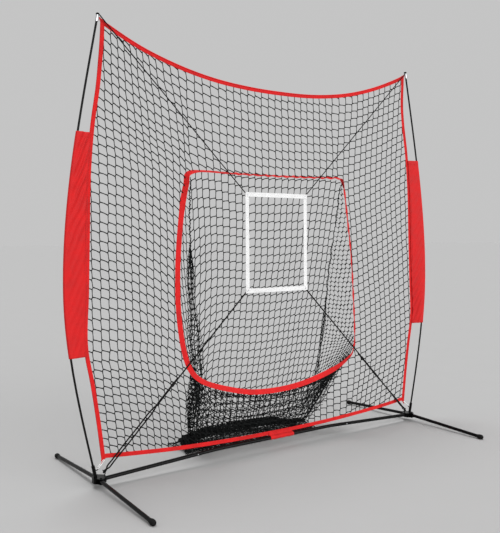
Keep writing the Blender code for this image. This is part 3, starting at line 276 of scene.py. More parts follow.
class StageSizes(bpy.types.PropertyGroup):
    lens: FloatProperty(name="Lens", description="Focal length on a 36 mm sensor", default=47.51)
    camera: FloatVectorProperty(name="Camera", description="Where the camera stands", subtype="XYZ", size=3,
                                default=(-2.4023, -3.1674, 1.1754), unit="LENGTH")
    yaw: FloatProperty(name="Yaw", description="Turn of the camera to the right of +Y, in degrees",
                       default=35.041)
    pitch: FloatProperty(name="Pitch", description="Rise of the camera's view, in degrees", default=-1.974)
    roll: FloatProperty(name="Roll", description="Lean of the camera, in degrees", default=-0.396)
    sky: FloatProperty(name="Sky light", description="Strength of the light from all round", default=0.55)
    backdrop: FloatProperty(name="Backdrop", description="Brightness of the plain backdrop", default=0.555)
    floor: FloatProperty(name="Floor", description="How pale the floor is", default=0.430, min=0, max=1)
    lamp: FloatProperty(name="Overhead light", description="Strength of the soft light overhead", default=1.4)
    lamp_spread: FloatProperty(name="Overhead spread", description="How wide the overhead light is",
                               default=0.45, subtype="ANGLE", unit="ROTATION")
    key: FloatProperty(name="Front light", description="Strength of the soft light from the front",
                       default=2.65)
    key_spread: FloatProperty(name="Front spread", description="How wide the front light is", default=1.2,
                              subtype="ANGLE", unit="ROTATION")


# Curves that the pieces share

def blend(start, end, share):
    return start + (end - start) * share


def smooth(low, high, value):
    """0 below low, 1 above high, eased between."""
    share = min(1.0, max(0.0, (value - low) / (high - low)))
    return share * share * (3 - 2 * share)


def bell(value, middle, width):
    return math.exp(-((value - middle) / width) ** 2)


def through(points):
    """Smooth function through (position, value) points."""
    at = np.array([point[0] for point in points], float)
    value = np.array([point[1] for point in points], float)
    slope = np.gradient(value, at)

    def height(position):
        position = min(max(position, at[0]), at[-1])
        index = min(int(np.searchsorted(at, position, "right")) - 1, len(at) - 2)
        span = at[index + 1] - at[index]
        t = (position - at[index]) / span
        start = (1 + 2 * t) * (1 - t) ** 2 * value[index] + t * (1 - t) ** 2 * span * slope[index]
        end = t * t * (3 - 2 * t) * value[index + 1] + t * t * (t - 1) * span * slope[index + 1]
        return float(start + end)

    return height


def closed_curve(points, steps):
    """Points of a smooth closed curve through the given ones, steps to each stretch."""
    ring = [Vector(point) for point in points]
    count = len(ring)
    made = []
    for index in range(count):
        before, here, ahead, beyond = (ring[(index + shift) % count] for shift in (-1, 0, 1, 2))
        for step in range(steps):
            t = step / steps
            start = here * (1 + 2 * t) * (1 - t) ** 2 + (ahead - before) / 2 * t * (1 - t) ** 2
            end = ahead * t * t * (3 - 2 * t) + (beyond - here) / 2 * t * t * (t - 1)
            made.append(start + end)
    return made


net_side_at = through(NET_SIDE)
pocket_folds = {-1: through(POCKET_LEFT_FOLD), 1: through(POCKET_RIGHT_FOLD)}
MOUTH_CURVE = closed_curve(MOUTH, MOUTH_STEPS)


def net_side(z):
    return net_side_at((z - NET_LOW_Z) / (NET_HIGH_Z - NET_LOW_Z))


def net_top(x):
    return NET_TOP_CORNER_Z - NET_TOP_SAG * (1 - (abs(x) / NET_CORNER_X) ** 2.35)


def net_bottom(x):
    return NET_BOTTOM_MIDDLE + NET_BOTTOM_RISE * (abs(x) / NET_CORNER_X) ** 2.2


def bow(z):
    """Half width of the bowed pole's centre line at a height."""
    if z <= POLE_BELLY_Z:
        span = POLE_BELLY_Z - SOCKET_TOP_Z
        t = (z - SOCKET_TOP_Z) / span
        foot = (1 + 2 * t) * (1 - t) ** 2 * SOCKET_TOP_X + t * (1 - t) ** 2 * span * SOCKET_SLOPE
        return foot + t * t * (3 - 2 * t) * POLE_BELLY_X
    if z <= POLE_TIP_Z:
        span = POLE_TIP_Z - POLE_BELLY_Z
        t = (z - POLE_BELLY_Z) / span
        tip = t * t * (3 - 2 * t) * POLE_TIP_X + t * t * (t - 1) * span * POLE_TIP_SLOPE
        return (1 + 2 * t) * (1 - t) ** 2 * POLE_BELLY_X + tip
    return POLE_TIP_X + POLE_TIP_SLOPE * (z - POLE_TIP_Z)


def pocket_fold(side, z):
    """x of the fold at the left or right of the pocket's back."""
    return side * pocket_folds[side](z)


def pocket_y(z):
    """Depth of the pocket's back at a height."""
    return NET_Y + POCKET_DEPTH * (POCKET_TOP_Z - z) / (POCKET_TOP_Z - POCKET_FOOT_Z)


def mouth_side(side, z):
    """x of the mouth's left or right side at a height."""
    half = sorted((point for point in MOUTH_CURVE if point.x * side > MOUTH_SIDE_FROM_X),
                  key=lambda point: point.y)
    return float(np.interp(z, [point.y for point in half], [point.x for point in half]))


def mouth_foot(x):
    """z of the mouth's lower edge at x."""
    low = sorted((point for point in MOUTH_CURVE if point.y < MOUTH_FOOT_BELOW_Z), key=lambda point: point.x)
    return float(np.interp(x, [point.x for point in low], [point.y for point in low]))


def in_mouth(point):
    """Whether a point of the front net lies inside the mouth's ring."""
    inside = False
    for index, here in enumerate(MOUTH_CURVE):
        before = MOUTH_CURVE[index - 1]
        if (here.y > point.z) != (before.y > point.z):
            crossing = here.x + (point.z - here.y) / (before.y - here.y) * (before.x - here.x)
            if point.x < crossing:
                inside = not inside
    return inside


def stray(point, scale, seed):
    """Smooth noise from -1 to 1 at a point."""
    return noise.noise(Vector(point) / scale + Vector((seed, seed * 2.7, 0)))


# Making objects

def new_object(name, mesh):
    made = bpy.data.objects.new(name, mesh)
    bpy.context.scene.collection.objects.link(made)
    return made


def built(name, bm):
    """Object from a bmesh, which is freed."""
    mesh = bpy.data.meshes.new(name)
    bm.to_mesh(mesh)
    bm.free()
    return new_object(name, mesh)


def dress(obj, mat, nodes=(), body="frame"):
    """Gives a piece its material and its body, and hides the CAD nodes that it stands for."""
    obj.data.materials.clear()
    obj.data.materials.append(mat)
    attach(obj, body)
    if nodes:
        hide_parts(*nodes)
    return obj


def skin(bm, rows, along, across, tube, closed=False):
    """Quads between rows of points, with a UV map in metres. A tube's rows close, and so may its ends."""
    weave = bm.loops.layers.uv.new("weave")
    rows = [[bm.verts.new(point) for point in row] for row in rows]
    count = len(rows[0])
    for row in range(len(rows) if closed else len(rows) - 1):
        ahead = (row + 1) % len(rows)
        for column in range(count if tube else count - 1):
            beside = (column + 1) % count
            face = bm.faces.new((rows[row][column], rows[row][beside], rows[ahead][beside],
                                 rows[ahead][column]))
            places = ((along[row], across[column]), (along[row], across[column + 1]),
                      (along[row + 1], across[column + 1]), (along[row + 1], across[column]))
            for loop, place in zip(face.loops, places):
                loop[weave].uv = place
            face.smooth = True
    return rows


def swept(name, rings, closed, lengths, girth):
    """Tube-like mesh from rings of points, with a UV map in metres along and round it."""
    bm = bmesh.new()
    rows = skin(bm, rings, lengths, girth, True, closed)
    if not closed:
        bm.faces.new(list(reversed(rows[0])))
        bm.faces.new(rows[-1])
    bmesh.ops.recalc_face_normals(bm, faces=bm.faces)
    made = built(name, bm)
    made.data.set_sharp_from_angle(angle=math.radians(SHARP_ABOVE))
    return made


def run_lengths(points, closed=False):
    """Distance along a line of points, with one more at the end where it closes."""
    total = [0.0]
    ends = list(points[1:]) + ([points[0]] if closed else [])
    for before, here in zip(points, ends):
        total.append(total[-1] + (Vector(here) - Vector(before)).length)
    return total


def round_tube(name, points, radius, sides=12, closed=False):
    """Round cord along points, turned as little as it can be from one ring to the next."""
    points = [Vector(point) for point in points]
    count = len(points)
    rings = []
    side = None
    for index, here in enumerate(points):
        before = points[index - 1] if closed or index > 0 else here
        ahead = points[(index + 1) % count] if closed or index < count - 1 else here
        forward = (ahead - before).normalized()
        side = forward.orthogonal() if side is None else side - forward * side.dot(forward)
        side.normalize()
        other = forward.cross(side)
        turns = [2 * math.pi * step / sides for step in range(sides)]
        rings.append([here + side * (math.cos(turn) * radius) + other * (math.sin(turn) * radius)
                      for turn in turns])
    girth = [2 * math.pi * radius * step / sides for step in range(sides + 1)]
    return swept(name, rings, closed, run_lengths(points, closed), girth)


def fine_line(points, spacing):
    """Smooth line through points, by cubic arcs, with a point at about every spacing."""
    points = [Vector(point) for point in points]
    total = run_lengths(points)
    made = []
    for index in range(len(points) - 1):
        before = points[max(0, index - 1)]
        here, ahead = points[index], points[index + 1]
        beyond = points[min(len(points) - 1, index + 2)]
        steps = max(1, round((total[index + 1] - total[index]) / spacing))
        into = (ahead - before) / 2 if index > 0 else ahead - here
        out = (beyond - here) / 2 if index < len(points) - 2 else ahead - here
        for step in range(steps):
            t = step / steps
            start = here * (1 + 2 * t) * (1 - t) ** 2 + into * t * (1 - t) ** 2
            made.append(start + ahead * t * t * (3 - 2 * t) + out * t * t * (t - 1))
    return made + [points[-1]]


# Node trees

def add(tree, kind, inputs=None, **settings):
    """New node with its settings, and inputs that are values or sockets, by name or number."""
    node = tree.nodes.new(kind)
    for name, value in settings.items():
        setattr(node, name, value)
    for name, value in (inputs or {}).items():
        if isinstance(value, bpy.types.NodeSocket):
            tree.links.new(value, node.inputs[name])
        else:
            node.inputs[name].default_value = value
    return node


def geometry_tree(name, inputs):
    """Geometry Nodes tree with its group nodes and the named inputs."""
    tree = bpy.data.node_groups.new(name, "GeometryNodeTree")
    tree.interface.new_socket("Geometry", in_out="INPUT", socket_type="NodeSocketGeometry")
    tree.interface.new_socket("Geometry", in_out="OUTPUT", socket_type="NodeSocketGeometry")
    for title, kind in inputs:
        tree.interface.new_socket(title, in_out="INPUT", socket_type="NodeSocket" + kind)
    return tree, tree.nodes.new("NodeGroupInput"), tree.nodes.new("NodeGroupOutput")


def netting_tree():
    """Round twine along the guide's edges, and a joint at each of its marked points."""
    tree, given, out = geometry_tree("netting", (("Twine Radius", "Float"), ("Joint Radius", "Float"),
                                                 ("Joint Length", "Float"), ("Sides", "Int"), ("Seed", "Int"),
                                                 ("Material", "Material")))
    swell = add(tree, "GeometryNodeInputNamedAttribute", {"Name": "swell"}, data_type="FLOAT")
    strands = add(tree, "GeometryNodeMeshToCurve", {"Mesh": given.outputs["Geometry"]})
    ring = add(tree, "GeometryNodeCurvePrimitiveCircle",
               {"Resolution": given.outputs["Sides"], "Radius": given.outputs["Twine Radius"]})
    twine = add(tree, "GeometryNodeCurveToMesh",
                {"Curve": strands.outputs[0], "Profile Curve": ring.outputs[0], "Scale": swell.outputs[0],
                 "Fill Caps": True})
    marked = add(tree, "GeometryNodeInputNamedAttribute", {"Name": "joint"}, data_type="BOOLEAN")
    points = add(tree, "GeometryNodeMeshToPoints",
                 {"Mesh": given.outputs["Geometry"], "Selection": marked.outputs[0]})
    bead = add(tree, "GeometryNodeMeshUVSphere",
               {"Segments": given.outputs["Sides"], "Rings": 4, "Radius": 1.0})
    rise = add(tree, "GeometryNodeInputNamedAttribute", {"Name": "rise"}, data_type="FLOAT_VECTOR")
    turn = add(tree, "FunctionNodeAlignRotationToVector", {"Vector": rise.outputs[0]}, axis="Z")
    half = add(tree, "ShaderNodeMath", {0: given.outputs["Joint Length"], 1: 0.5}, operation="MULTIPLY")
    size = add(tree, "ShaderNodeCombineXYZ",
               {0: given.outputs["Joint Radius"], 1: given.outputs["Joint Radius"], 2: half.outputs[0]})
    vary = add(tree, "FunctionNodeRandomValue", {2: 0.85, 3: 1.25, "Seed": given.outputs["Seed"]},
               data_type="FLOAT")
    grown = add(tree, "ShaderNodeMath", {0: vary.outputs[1], 1: swell.outputs[0]}, operation="MULTIPLY")
    scale = add(tree, "ShaderNodeVectorMath", {0: size.outputs[0], 3: grown.outputs[0]}, operation="SCALE")
    joints = add(tree, "GeometryNodeInstanceOnPoints",
                 {"Points": points.outputs[0], "Instance": bead.outputs[0], "Rotation": turn.outputs[0],
                  "Scale": scale.outputs[0]})
    both = add(tree, "GeometryNodeJoinGeometry")
    tree.links.new(twine.outputs[0], both.inputs[0])
    tree.links.new(joints.outputs[0], both.inputs[0])
    finish_tree(tree, both.outputs[0], given, out)
    return tree


def stitch_tree():
    """Short lengths of thread at even steps along the guide's lines."""
    tree, given, out = geometry_tree("stitches", (("Pitch", "Float"), ("Stitch Length", "Float"),
                                                  ("Thread Radius", "Float"), ("Material", "Material")))
    line = add(tree, "GeometryNodeMeshToCurve", {"Mesh": given.outputs["Geometry"]})
    steps = add(tree, "GeometryNodeCurveToPoints",
                {"Curve": line.outputs[0], "Length": given.outputs["Pitch"]}, mode="LENGTH")
    half = add(tree, "ShaderNodeMath", {0: given.outputs["Stitch Length"], 1: 0.5}, operation="MULTIPLY")
    size = add(tree, "ShaderNodeCombineXYZ",
               {0: given.outputs["Thread Radius"], 1: given.outputs["Thread Radius"], 2: half.outputs[0]})
    thread = add(tree, "GeometryNodeMeshUVSphere", {"Segments": 5, "Rings": 3, "Radius": 1.0})
    row = add(tree, "GeometryNodeInstanceOnPoints",
              {"Points": steps.outputs[0], "Instance": thread.outputs[0],
               "Rotation": steps.outputs["Rotation"], "Scale": size.outputs[0]})
    finish_tree(tree, row.outputs[0], given, out)
    return tree


def finish_tree(tree, made, given, out):
    real = add(tree, "GeometryNodeRealizeInstances", {0: made})
    shaded = add(tree, "GeometryNodeSetShadeSmooth", {"Geometry": real.outputs[0], "Shade Smooth": True})
    coloured = add(tree, "GeometryNodeSetMaterial", {"Geometry": shaded.outputs[0],
                                                     "Material": given.outputs["Material"]})
    tree.links.new(coloured.outputs[0], out.inputs[0])


def baked(name, guide, tree, values):
    """Runs a tree on a guide mesh and keeps the result as a plain mesh."""
    carrier = new_object(name + "_guide", guide)
    step = carrier.modifiers.new("nodes", "NODES")
    step.node_group = tree
    for item in tree.interface.items_tree:
        if item.in_out == "INPUT" and item.name in values:
            step[item.identifier] = values[item.name]
    seen = carrier.evaluated_get(bpy.context.evaluated_depsgraph_get())
    mesh = bpy.data.meshes.new_from_object(seen)
    mesh.name = name
    bpy.data.objects.remove(carrier)
    return new_object(name, mesh)


def sew(name, lines, pitch, length, radius, finish):
    """Rows of stitches along lines of points."""
    points, edges = [], []
    for line in lines:
        first = len(points)
        points.extend(line)
        edges.extend((first + step, first + step + 1) for step in range(len(line) - 1))
    guide = bpy.data.meshes.new(name + "_guide")
    guide.from_pydata(points, edges, [])
    thread = Finishes.get(finish)
    made = baked(name, guide, stitch_tree(), {
        "Pitch": pitch, "Stitch Length": length, "Thread Radius": radius, "Material": thread})
    dress(made, thread)


# Finishes

def shader_of(name, colour, roughness, metallic=0.0):
    mat = bpy.data.materials.new(name)
    mat.use_nodes = True
    shader = mat.node_tree.nodes["Principled BSDF"]
    shader.inputs["Base Color"].default_value = (*colour, 1.0)
    shader.inputs["Roughness"].default_value = roughness
    shader.inputs["Metallic"].default_value = metallic
    mat.diffuse_color = (*colour, 1.0)
    return mat, mat.node_tree, shader


def vary_colour(tree, shader, coordinates, scale, colour, dark, light):
    """Lets the colour drift between a darker and a lighter tone."""
    cloud = add(tree, "ShaderNodeTexNoise", {"Vector": coordinates, "Scale": scale, "Detail": 4.0})
    tone = add(tree, "ShaderNodeMapRange", {"Value": cloud.outputs[0], "From Min": 0.3, "From Max": 0.7,
                                            "To Min": dark, "To Max": light})
    mixed = add(tree, "ShaderNodeMix", {6: (*colour, 1.0), "Factor": 1.0}, data_type="RGBA",
                blend_type="MULTIPLY")
    tree.links.new(tone.outputs[0], mixed.inputs[7])
    tree.links.new(mixed.outputs[2], shader.inputs["Base Color"])
    return cloud


def vary_roughness(tree, shader, source, low, high):
    rough = add(tree, "ShaderNodeMapRange", {"Value": source, "From Min": 0.3, "From Max": 0.7,
                                             "To Min": low, "To Max": high})
    tree.links.new(rough.outputs[0], shader.inputs["Roughness"])


def bumped(tree, shader, height, depth):
    bump = add(tree, "ShaderNodeBump", {"Height": height, "Distance": depth, "Strength": 1.0})
    tree.links.new(bump.outputs[0], shader.inputs["Normal"])


def wave(tree, coordinate, pitch):
    """Sine of one coordinate, with a pitch in metres."""
    turns = add(tree, "ShaderNodeMath", {0: coordinate, 1: 2 * math.pi / pitch}, operation="MULTIPLY")
    return add(tree, "ShaderNodeMath", {0: turns.outputs[0]}, operation="SINE").outputs[0]


def woven(name, colour, pitch_along, pitch_across, roughness, sheen, depth=0.00025, tones=(0.86, 1.12)):
    """Woven tape or cloth, whose threads follow the piece's own UV map in metres."""
    mat, tree, shader = shader_of(name, colour, roughness)
    places = add(tree, "ShaderNodeUVMap", uv_map="weave")
    split = add(tree, "ShaderNodeSeparateXYZ", {0: places.outputs[0]})
    weft = wave(tree, split.outputs[0], pitch_along)
    warp = wave(tree, split.outputs[1], pitch_across)
    height = add(tree, "ShaderNodeMath", {0: weft, 1: warp}, operation="MULTIPLY")
    bumped(tree, shader, height.outputs[0], depth)
    where = add(tree, "ShaderNodeTexCoord")
    cloud = vary_colour(tree, shader, where.outputs["Object"], 18.0, colour, *tones)
    vary_roughness(tree, shader, cloud.outputs[0], roughness - 0.08, roughness + 0.10)
    shader.inputs["Sheen Weight"].default_value = sheen
    shader.inputs["Sheen Roughness"].default_value = 0.5
    shader.inputs["Specular IOR Level"].default_value = 0.22
    return mat


def twine_finish(colour):
    """Twisted black twine with a dull grain."""
    mat, tree, shader = shader_of("black_twine", colour, 0.72)
    where = add(tree, "ShaderNodeTexCoord")
    vary_colour(tree, shader, where.outputs["Object"], 60.0, colour, 0.7, 1.6)
    grain = add(tree, "ShaderNodeTexNoise",
                {"Vector": where.outputs["Object"], "Scale": 1400.0, "Detail": 2.0})
    bumped(tree, shader, grain.outputs[0], 0.0004)
    shader.inputs["Specular IOR Level"].default_value = 0.10
    return mat


def braided(name, colour, diameter, roughness=0.6):
    """Braided sheath of an elastic cord: crossed diagonal strands."""
    mat, tree, shader = shader_of(name, colour, roughness)
    places = add(tree, "ShaderNodeUVMap", uv_map="weave")
    split = add(tree, "ShaderNodeSeparateXYZ", {0: places.outputs[0]})
    total = add(tree, "ShaderNodeMath", {0: split.outputs[0], 1: split.outputs[1]}, operation="ADD")
    apart = add(tree, "ShaderNodeMath", {0: split.outputs[0], 1: split.outputs[1]}, operation="SUBTRACT")
    pitch = math.pi * diameter / 8
    height = add(tree, "ShaderNodeMath", {0: wave(tree, total.outputs[0], pitch),
                                          1: wave(tree, apart.outputs[0], pitch)}, operation="MULTIPLY")
    bumped(tree, shader, height.outputs[0], diameter * 0.06)
    where = add(tree, "ShaderNodeTexCoord")
    vary_colour(tree, shader, where.outputs["Object"], 90.0, colour, 0.75, 1.5)
    shader.inputs["Specular IOR Level"].default_value = 0.12
    return mat


def painted(name, colour, roughness, grain=900.0, depth=0.00006):
    """Powder coat: fine orange peel, with rubbed and dusty patches."""
    mat, tree, shader = shader_of(name, colour, roughness)
    where = add(tree, "ShaderNodeTexCoord")
    cloud = vary_colour(tree, shader, where.outputs["Object"], 14.0, colour, 0.8, 1.35)
    vary_roughness(tree, shader, cloud.outputs[0], roughness - 0.10, roughness + 0.12)
    peel = add(tree, "ShaderNodeTexNoise", {"Vector": where.outputs["Object"], "Scale": grain, "Detail": 2.0})
    bumped(tree, shader, peel.outputs[0], depth)
    shader.inputs["Specular IOR Level"].default_value = 0.12
    return mat


def drawn_rod(name, colour):
    """Pultruded rod: fine streaks along its length under a clear skin."""
    mat, tree, shader = shader_of(name, colour, 0.33)
    where = add(tree, "ShaderNodeTexCoord")
    streaks = add(tree, "ShaderNodeMapping",
                  {"Vector": where.outputs["Object"], "Scale": (900.0, 900.0, 6.0)})
    fibres = add(tree, "ShaderNodeTexNoise", {"Vector": streaks.outputs[0], "Scale": 1.0, "Detail": 3.0})
    vary_roughness(tree, shader, fibres.outputs[0], 0.26, 0.44)
    bumped(tree, shader, fibres.outputs[0], 0.00008)
    vary_colour(tree, shader, where.outputs["Object"], 30.0, colour, 0.85, 1.3)
    shader.inputs["Specular IOR Level"].default_value = 0.10
    return mat


def bright_zinc(name):
    mat, tree, shader = shader_of(name, (0.66, 0.67, 0.69), 0.28, 1.0)
    where = add(tree, "ShaderNodeTexCoord")
    cloud = vary_colour(tree, shader, where.outputs["Object"], 220.0, (0.66, 0.67, 0.69), 0.82, 1.1)
    vary_roughness(tree, shader, cloud.outputs[0], 0.20, 0.42)
    return mat


class Finishes:
    """Materials, made once and shared by the pieces."""

    made = {}

    @classmethod
    def get(cls, name):
        if not cls.made:
            tones = bpy.context.scene.net_colours
            cls.made = {
                "tape": woven("red_binding_tape", tones.tape, 0.0016, 0.0022, 0.70, 0.03),
                "cloth": woven("red_sleeve_cloth", tones.cloth, 0.0011, 0.0011, 0.55, 0.05, 0.00010,
                               (0.90, 1.08)),
                "webbing": woven("white_webbing", tones.webbing, 0.0018, 0.0026, 0.70, 0.03, 0.0004,
                                 (0.94, 1.04)),
                "thread": woven("red_thread", tones.tape, 0.001, 0.001, 0.6, 0.0),
                "seam": woven("dark_red_thread", (0.20, 0.004, 0.005), 0.001, 0.001, 0.6, 0.0),
                "white_thread": woven("white_thread", tones.webbing, 0.001, 0.001, 0.6, 0.0),
                "twine": twine_finish(tones.twine),
                "upper_cord": braided("black_braid_thin", tones.cord, UPPER_CORD_DIAMETER),
                "lower_cord": braided("black_braid", tones.cord, LOWER_CORD_DIAMETER),
                "loop_cord": braided("white_braid", (0.82, 0.82, 0.82), LOOP_CORD_DIAMETER),
                "paint": painted("black_powder_coat", tones.paint, 0.22),
                "rubber": painted("black_rubber", (0.006, 0.006, 0.006), 0.66, 500.0, 0.00015),
                "plastic": painted("black_moulded_plastic", (0.006, 0.006, 0.006), 0.44, 700.0, 0.00005),
                "rod": drawn_rod("black_fibreglass_rod", (0.005, 0.005, 0.005)),
                "zinc": bright_zinc("bright_zinc"),
            }
        return cls.made[name]


# Netting guides

class Guide:
    """Lines and joint points that the netting tree turns to twine."""

    def __init__(self, name, slack, joint, seed):
        self.name = name
        self.slack = slack
        self.half = joint / 2
        self.chance = random.Random(seed)
        self.points = []
        self.edges = []
        self.swell = []
        self.joint = []
        self.rise = []

    def mark(self, point, swell, joint=False, rise=(0, 0, 1)):
        self.points.append(point)
        self.swell.append(swell)
        self.joint.append(joint)
        self.rise.extend(rise)

    def strand(self, start, end, swell, sag, keep):
        """One strand between two joints, cut where it leaves the netting's outline."""
        held = keep(start), keep(end)
        if not any(held):
            return
        if not held[0]:
            start = edge_point(end, start, keep)
        if not held[1]:
            end = edge_point(start, end, keep)
        first = len(self.points)
        stray_by = Vector(self.chance.uniform(-0.5, 0.5) * self.slack for axis in range(3))
        self.mark(start, swell * 1.25)
        self.mark((start + end) / 2 + sag + stray_by, swell * 0.9)
        self.mark(end, swell * 1.25)
        self.edges.extend(((first, first + 1), (first + 1, first + 2)))

    def lattice(self, columns, rows, place, keep=lambda point: True, hand=1, upright=0.8, edges=False,
                fine=1.0, knot=1.0, lie=lambda point: 0.0):
        """Sawtooth strands across and plain ones up, with a leaning joint where they cross."""
        spots = [[self.spot(place, column, row, columns, rows, hand, lie) for column in range(columns + 1)]
                 for row in range(rows + 1)]
        for row in range(rows + 1):
            for column in range(columns + 1):
                here, lean = spots[row][column]
                inside = 0 < row < rows and 0 < column < columns
                if inside and keep(here):
                    self.mark(here, knot, True, lean)
                if column < columns and (edges or 0 < row < rows):
                    there, ahead = spots[row][column + 1]
                    self.strand(here + lean * self.half * hand, there - ahead * self.half * hand, fine,
                                Vector((0, 0, 0.0012)), keep)
                if row < rows and (edges or 0 < column < columns):
                    above, ahead = spots[row + 1][column]
                    self.strand(here + lean * self.half * 0.5, above - ahead * self.half * 0.5,
                                upright * fine, Vector(), keep)

    def spot(self, place, column, row, columns, rows, hand, lie):
        """A crossing and the direction in which its joint leans, which may lie down along the row."""
        u, v = column / columns, row / rows
        here = Vector(place(u, v))
        up = (Vector(place(u, min(1, v + 0.01))) - Vector(place(u, max(0, v - 0.01)))).normalized()
        side = (Vector(place(min(1, u + 0.01), v)) - Vector(place(max(0, u - 0.01), v))).normalized()
        here += up * self.chance.uniform(-1, 1) * self.slack + side * self.chance.uniform(-1, 1) * self.slack
        rise = blend(JOINT_UP, JOINT_UP_LYING, lie(here))
        aside = blend(JOINT_ASIDE, JOINT_ASIDE_LYING, lie(here))
        return here, (up * rise + side * aside * hand).normalized()

    def mesh(self):
        made = bpy.data.meshes.new(self.name + "_guide")
        made.from_pydata(self.points, self.edges, [])
        made.attributes.new("swell", "FLOAT", "POINT").data.foreach_set("value", self.swell)
        made.attributes.new("joint", "BOOLEAN", "POINT").data.foreach_set("value", self.joint)
        made.attributes.new("rise", "FLOAT_VECTOR", "POINT").data.foreach_set("vector", self.rise)
        return made


def edge_point(kept, lost, keep):
    """Where a strand crosses the outline, found by halving."""
    for step in range(8):
        middle = (kept + lost) / 2
        if keep(middle):
            kept = middle
        else:
            lost = middle
    return kept


def netting(guide, tree, sizes, nodes, seed):
    """Bakes a guide to twine and dresses the piece."""
    mat = Finishes.get("twine")
    made = baked(guide.name, guide.mesh(), tree, {
        "Twine Radius": sizes.twine, "Joint Radius": sizes.joint_radius, "Joint Length": sizes.joint,
        "Sides": TWINE_SIDES, "Seed": seed, "Material": mat})
    return dress(made, mat, nodes)


# Front net

def running_total(table):
    """Sum of the values in a table from place 0 on, at any place."""
    places = np.linspace(table[0][0], table[-1][0], 521)
    values = np.interp(places, *zip(*table))
    totals = np.concatenate(([0], np.cumsum((values[1:] + values[:-1]) / 2) * (places[1] - places[0])))
    totals -= np.interp(0, places, totals)
    return places, totals


def rise_of(table):
    places, totals = running_total(table)
    return lambda x: float(np.interp(x, places, totals))


def columns_of(table):
    """Place of a column, for shares from 0 to 1 of all columns."""
    places, totals = running_total([(x, 1 / pitch) for x, pitch in table])
    shares = (totals - totals[0]) / (totals[-1] - totals[0])
    return lambda share: float(np.interp(share, shares, places))


column_place = columns_of(COLUMN_PITCH)
row_height = through(ROW_HEIGHTS)
rise_top = rise_of(ROW_SLOPE_TOP)
rise_middle = rise_of(ROW_SLOPE_MIDDLE)
rise_low = rise_of(ROW_SLOPE_LOW)


def net_edge(z):
    """Half width of the netting, under the side tape."""
    return net_side(z) - TAPE_WIDTH * 0.6


def net_creases(x, z):
    """Depth of the folds that run up from the mouth's corners, and one beside the left sleeve's foot."""
    depth = 0.0
    for corner_x, lean in ((-0.55, 0.02), (0.50, -0.05)):
        line = corner_x + lean * (z - 1.55) / 0.5
        depth += 0.016 * bell(x, line, 0.030) * smooth(1.50, 1.66, z) * (1 - smooth(1.95, 2.06, z))
    beside = smooth(0.62, 0.72, -x) * (1 - smooth(1.02, 1.08, -x))
    return depth + 0.012 * bell(z, 0.62 + 0.05 * (x + 0.9), 0.022) * beside


def column_shift(x, z):
    """How far a column strays sideways from upright on its way down."""
    left = -0.10 * bell(x, -0.66, 0.28) * max(0.0, z - 1.55) + 0.08 * smooth(0.3, 0.6, -x) * max(0.0, 0.6 - z)
    right = 0.06 * smooth(0.35, 0.62, x) * (max(0.0, z - 1.5) + 1.5 - min(1.5, max(z, 0.6)))
    foot = -0.22 * smooth(0.40, 0.75, x) * max(0.0, 0.42 - z)
    return left + right + foot


def front_place(u, v):
    centre_z = row_height(v)
    x = column_place(u)
    low_share = smooth(-0.75, -0.40, -centre_z)
    top_share = smooth(1.35, 1.75, centre_z)
    rise = blend(blend(rise_middle(x), rise_top(x), top_share), rise_low(x), low_share)
    z = centre_z + rise + 0.004 * stray((x, 0, centre_z), 0.30, 3.0)
    x += column_shift(x, z) + 0.004 * stray((x, 0, z), 0.22, 7.0)
    pinch = sum(bell(x, corner_x, 0.09) * (corner_x - x) for corner_x in (-0.57, 0.52))
    x += 0.22 * pinch * smooth(1.48, 1.66, z) * (1 - smooth(1.80, 2.02, z))
    inner = 1 - smooth(0.90, 0.99, abs(x) / net_side(z))
    inner *= smooth(0.12, 0.25, z) * (1 - smooth(1.90, 2.02, z))
    ripple = 0.004 * stray((x, 0, z), 0.16, 11.0)
    return Vector((x, NET_Y + (net_creases(x, z) + ripple) * inner + corner_lean(x, z), z))


def in_front_net(point):
    """Whether a point lies between the border's tapes and outside the mouth."""
    if abs(point.x) > net_edge(point.z):
        return False
    if not net_bottom(point.x) + TAPE_WIDTH * 0.4 < point.z < net_top(point.x) - TAPE_WIDTH * 0.4:
        return False
    return not in_mouth(point)


# Catch pocket

pocket_column = columns_of(POCKET_PITCH)
pocket_height = through(POCKET_HEIGHTS)
pocket_rise_top = rise_of(POCKET_SLOPE_TOP)
pocket_rise_middle = rise_of(POCKET_SLOPE_MIDDLE)
pocket_rise_low = rise_of(POCKET_SLOPE_LOW)
pocket_lean = rise_of([(z, math.tan(math.radians(angle))) for z, angle in POCKET_LEAN])


def pocket_back_place(u, v):
    centre_z = pocket_height(v)
    x = pocket_column(u)
    top_share = smooth(1.15, 1.42, centre_z)
    low_share = smooth(-1.05, -0.75, -centre_z)
    rise = blend(blend(pocket_rise_middle(x), pocket_rise_top(x), top_share), pocket_rise_low(x), low_share)
    z = centre_z + rise + 0.003 * stray((x, 0, centre_z), 0.25, 5.0)
    share = float(np.interp(x, *zip(*POCKET_LEAN_SHARE)))
    x -= (pocket_lean(max(0.0, z)) - pocket_lean(1.0)) * share
    sag = 0.010 * (1 - (x / 0.55) ** 2) * math.sin(math.pi * min(1.0, max(0.0, z / POCKET_TOP_Z)))
    y = pocket_y(z) + sag + 0.004 * stray((x, 0, z), 0.18, 9.0)
    return Vector((x + 0.003 * stray((x, 1, z), 0.2, 6.0), y, z))


def in_pocket_back(point):
    if not POCKET_FOOT_Z - 0.035 < point.z < POCKET_TOP_Z - 0.004:
        return False
    return pocket_fold(-1, point.z) < point.x < pocket_fold(1, point.z)


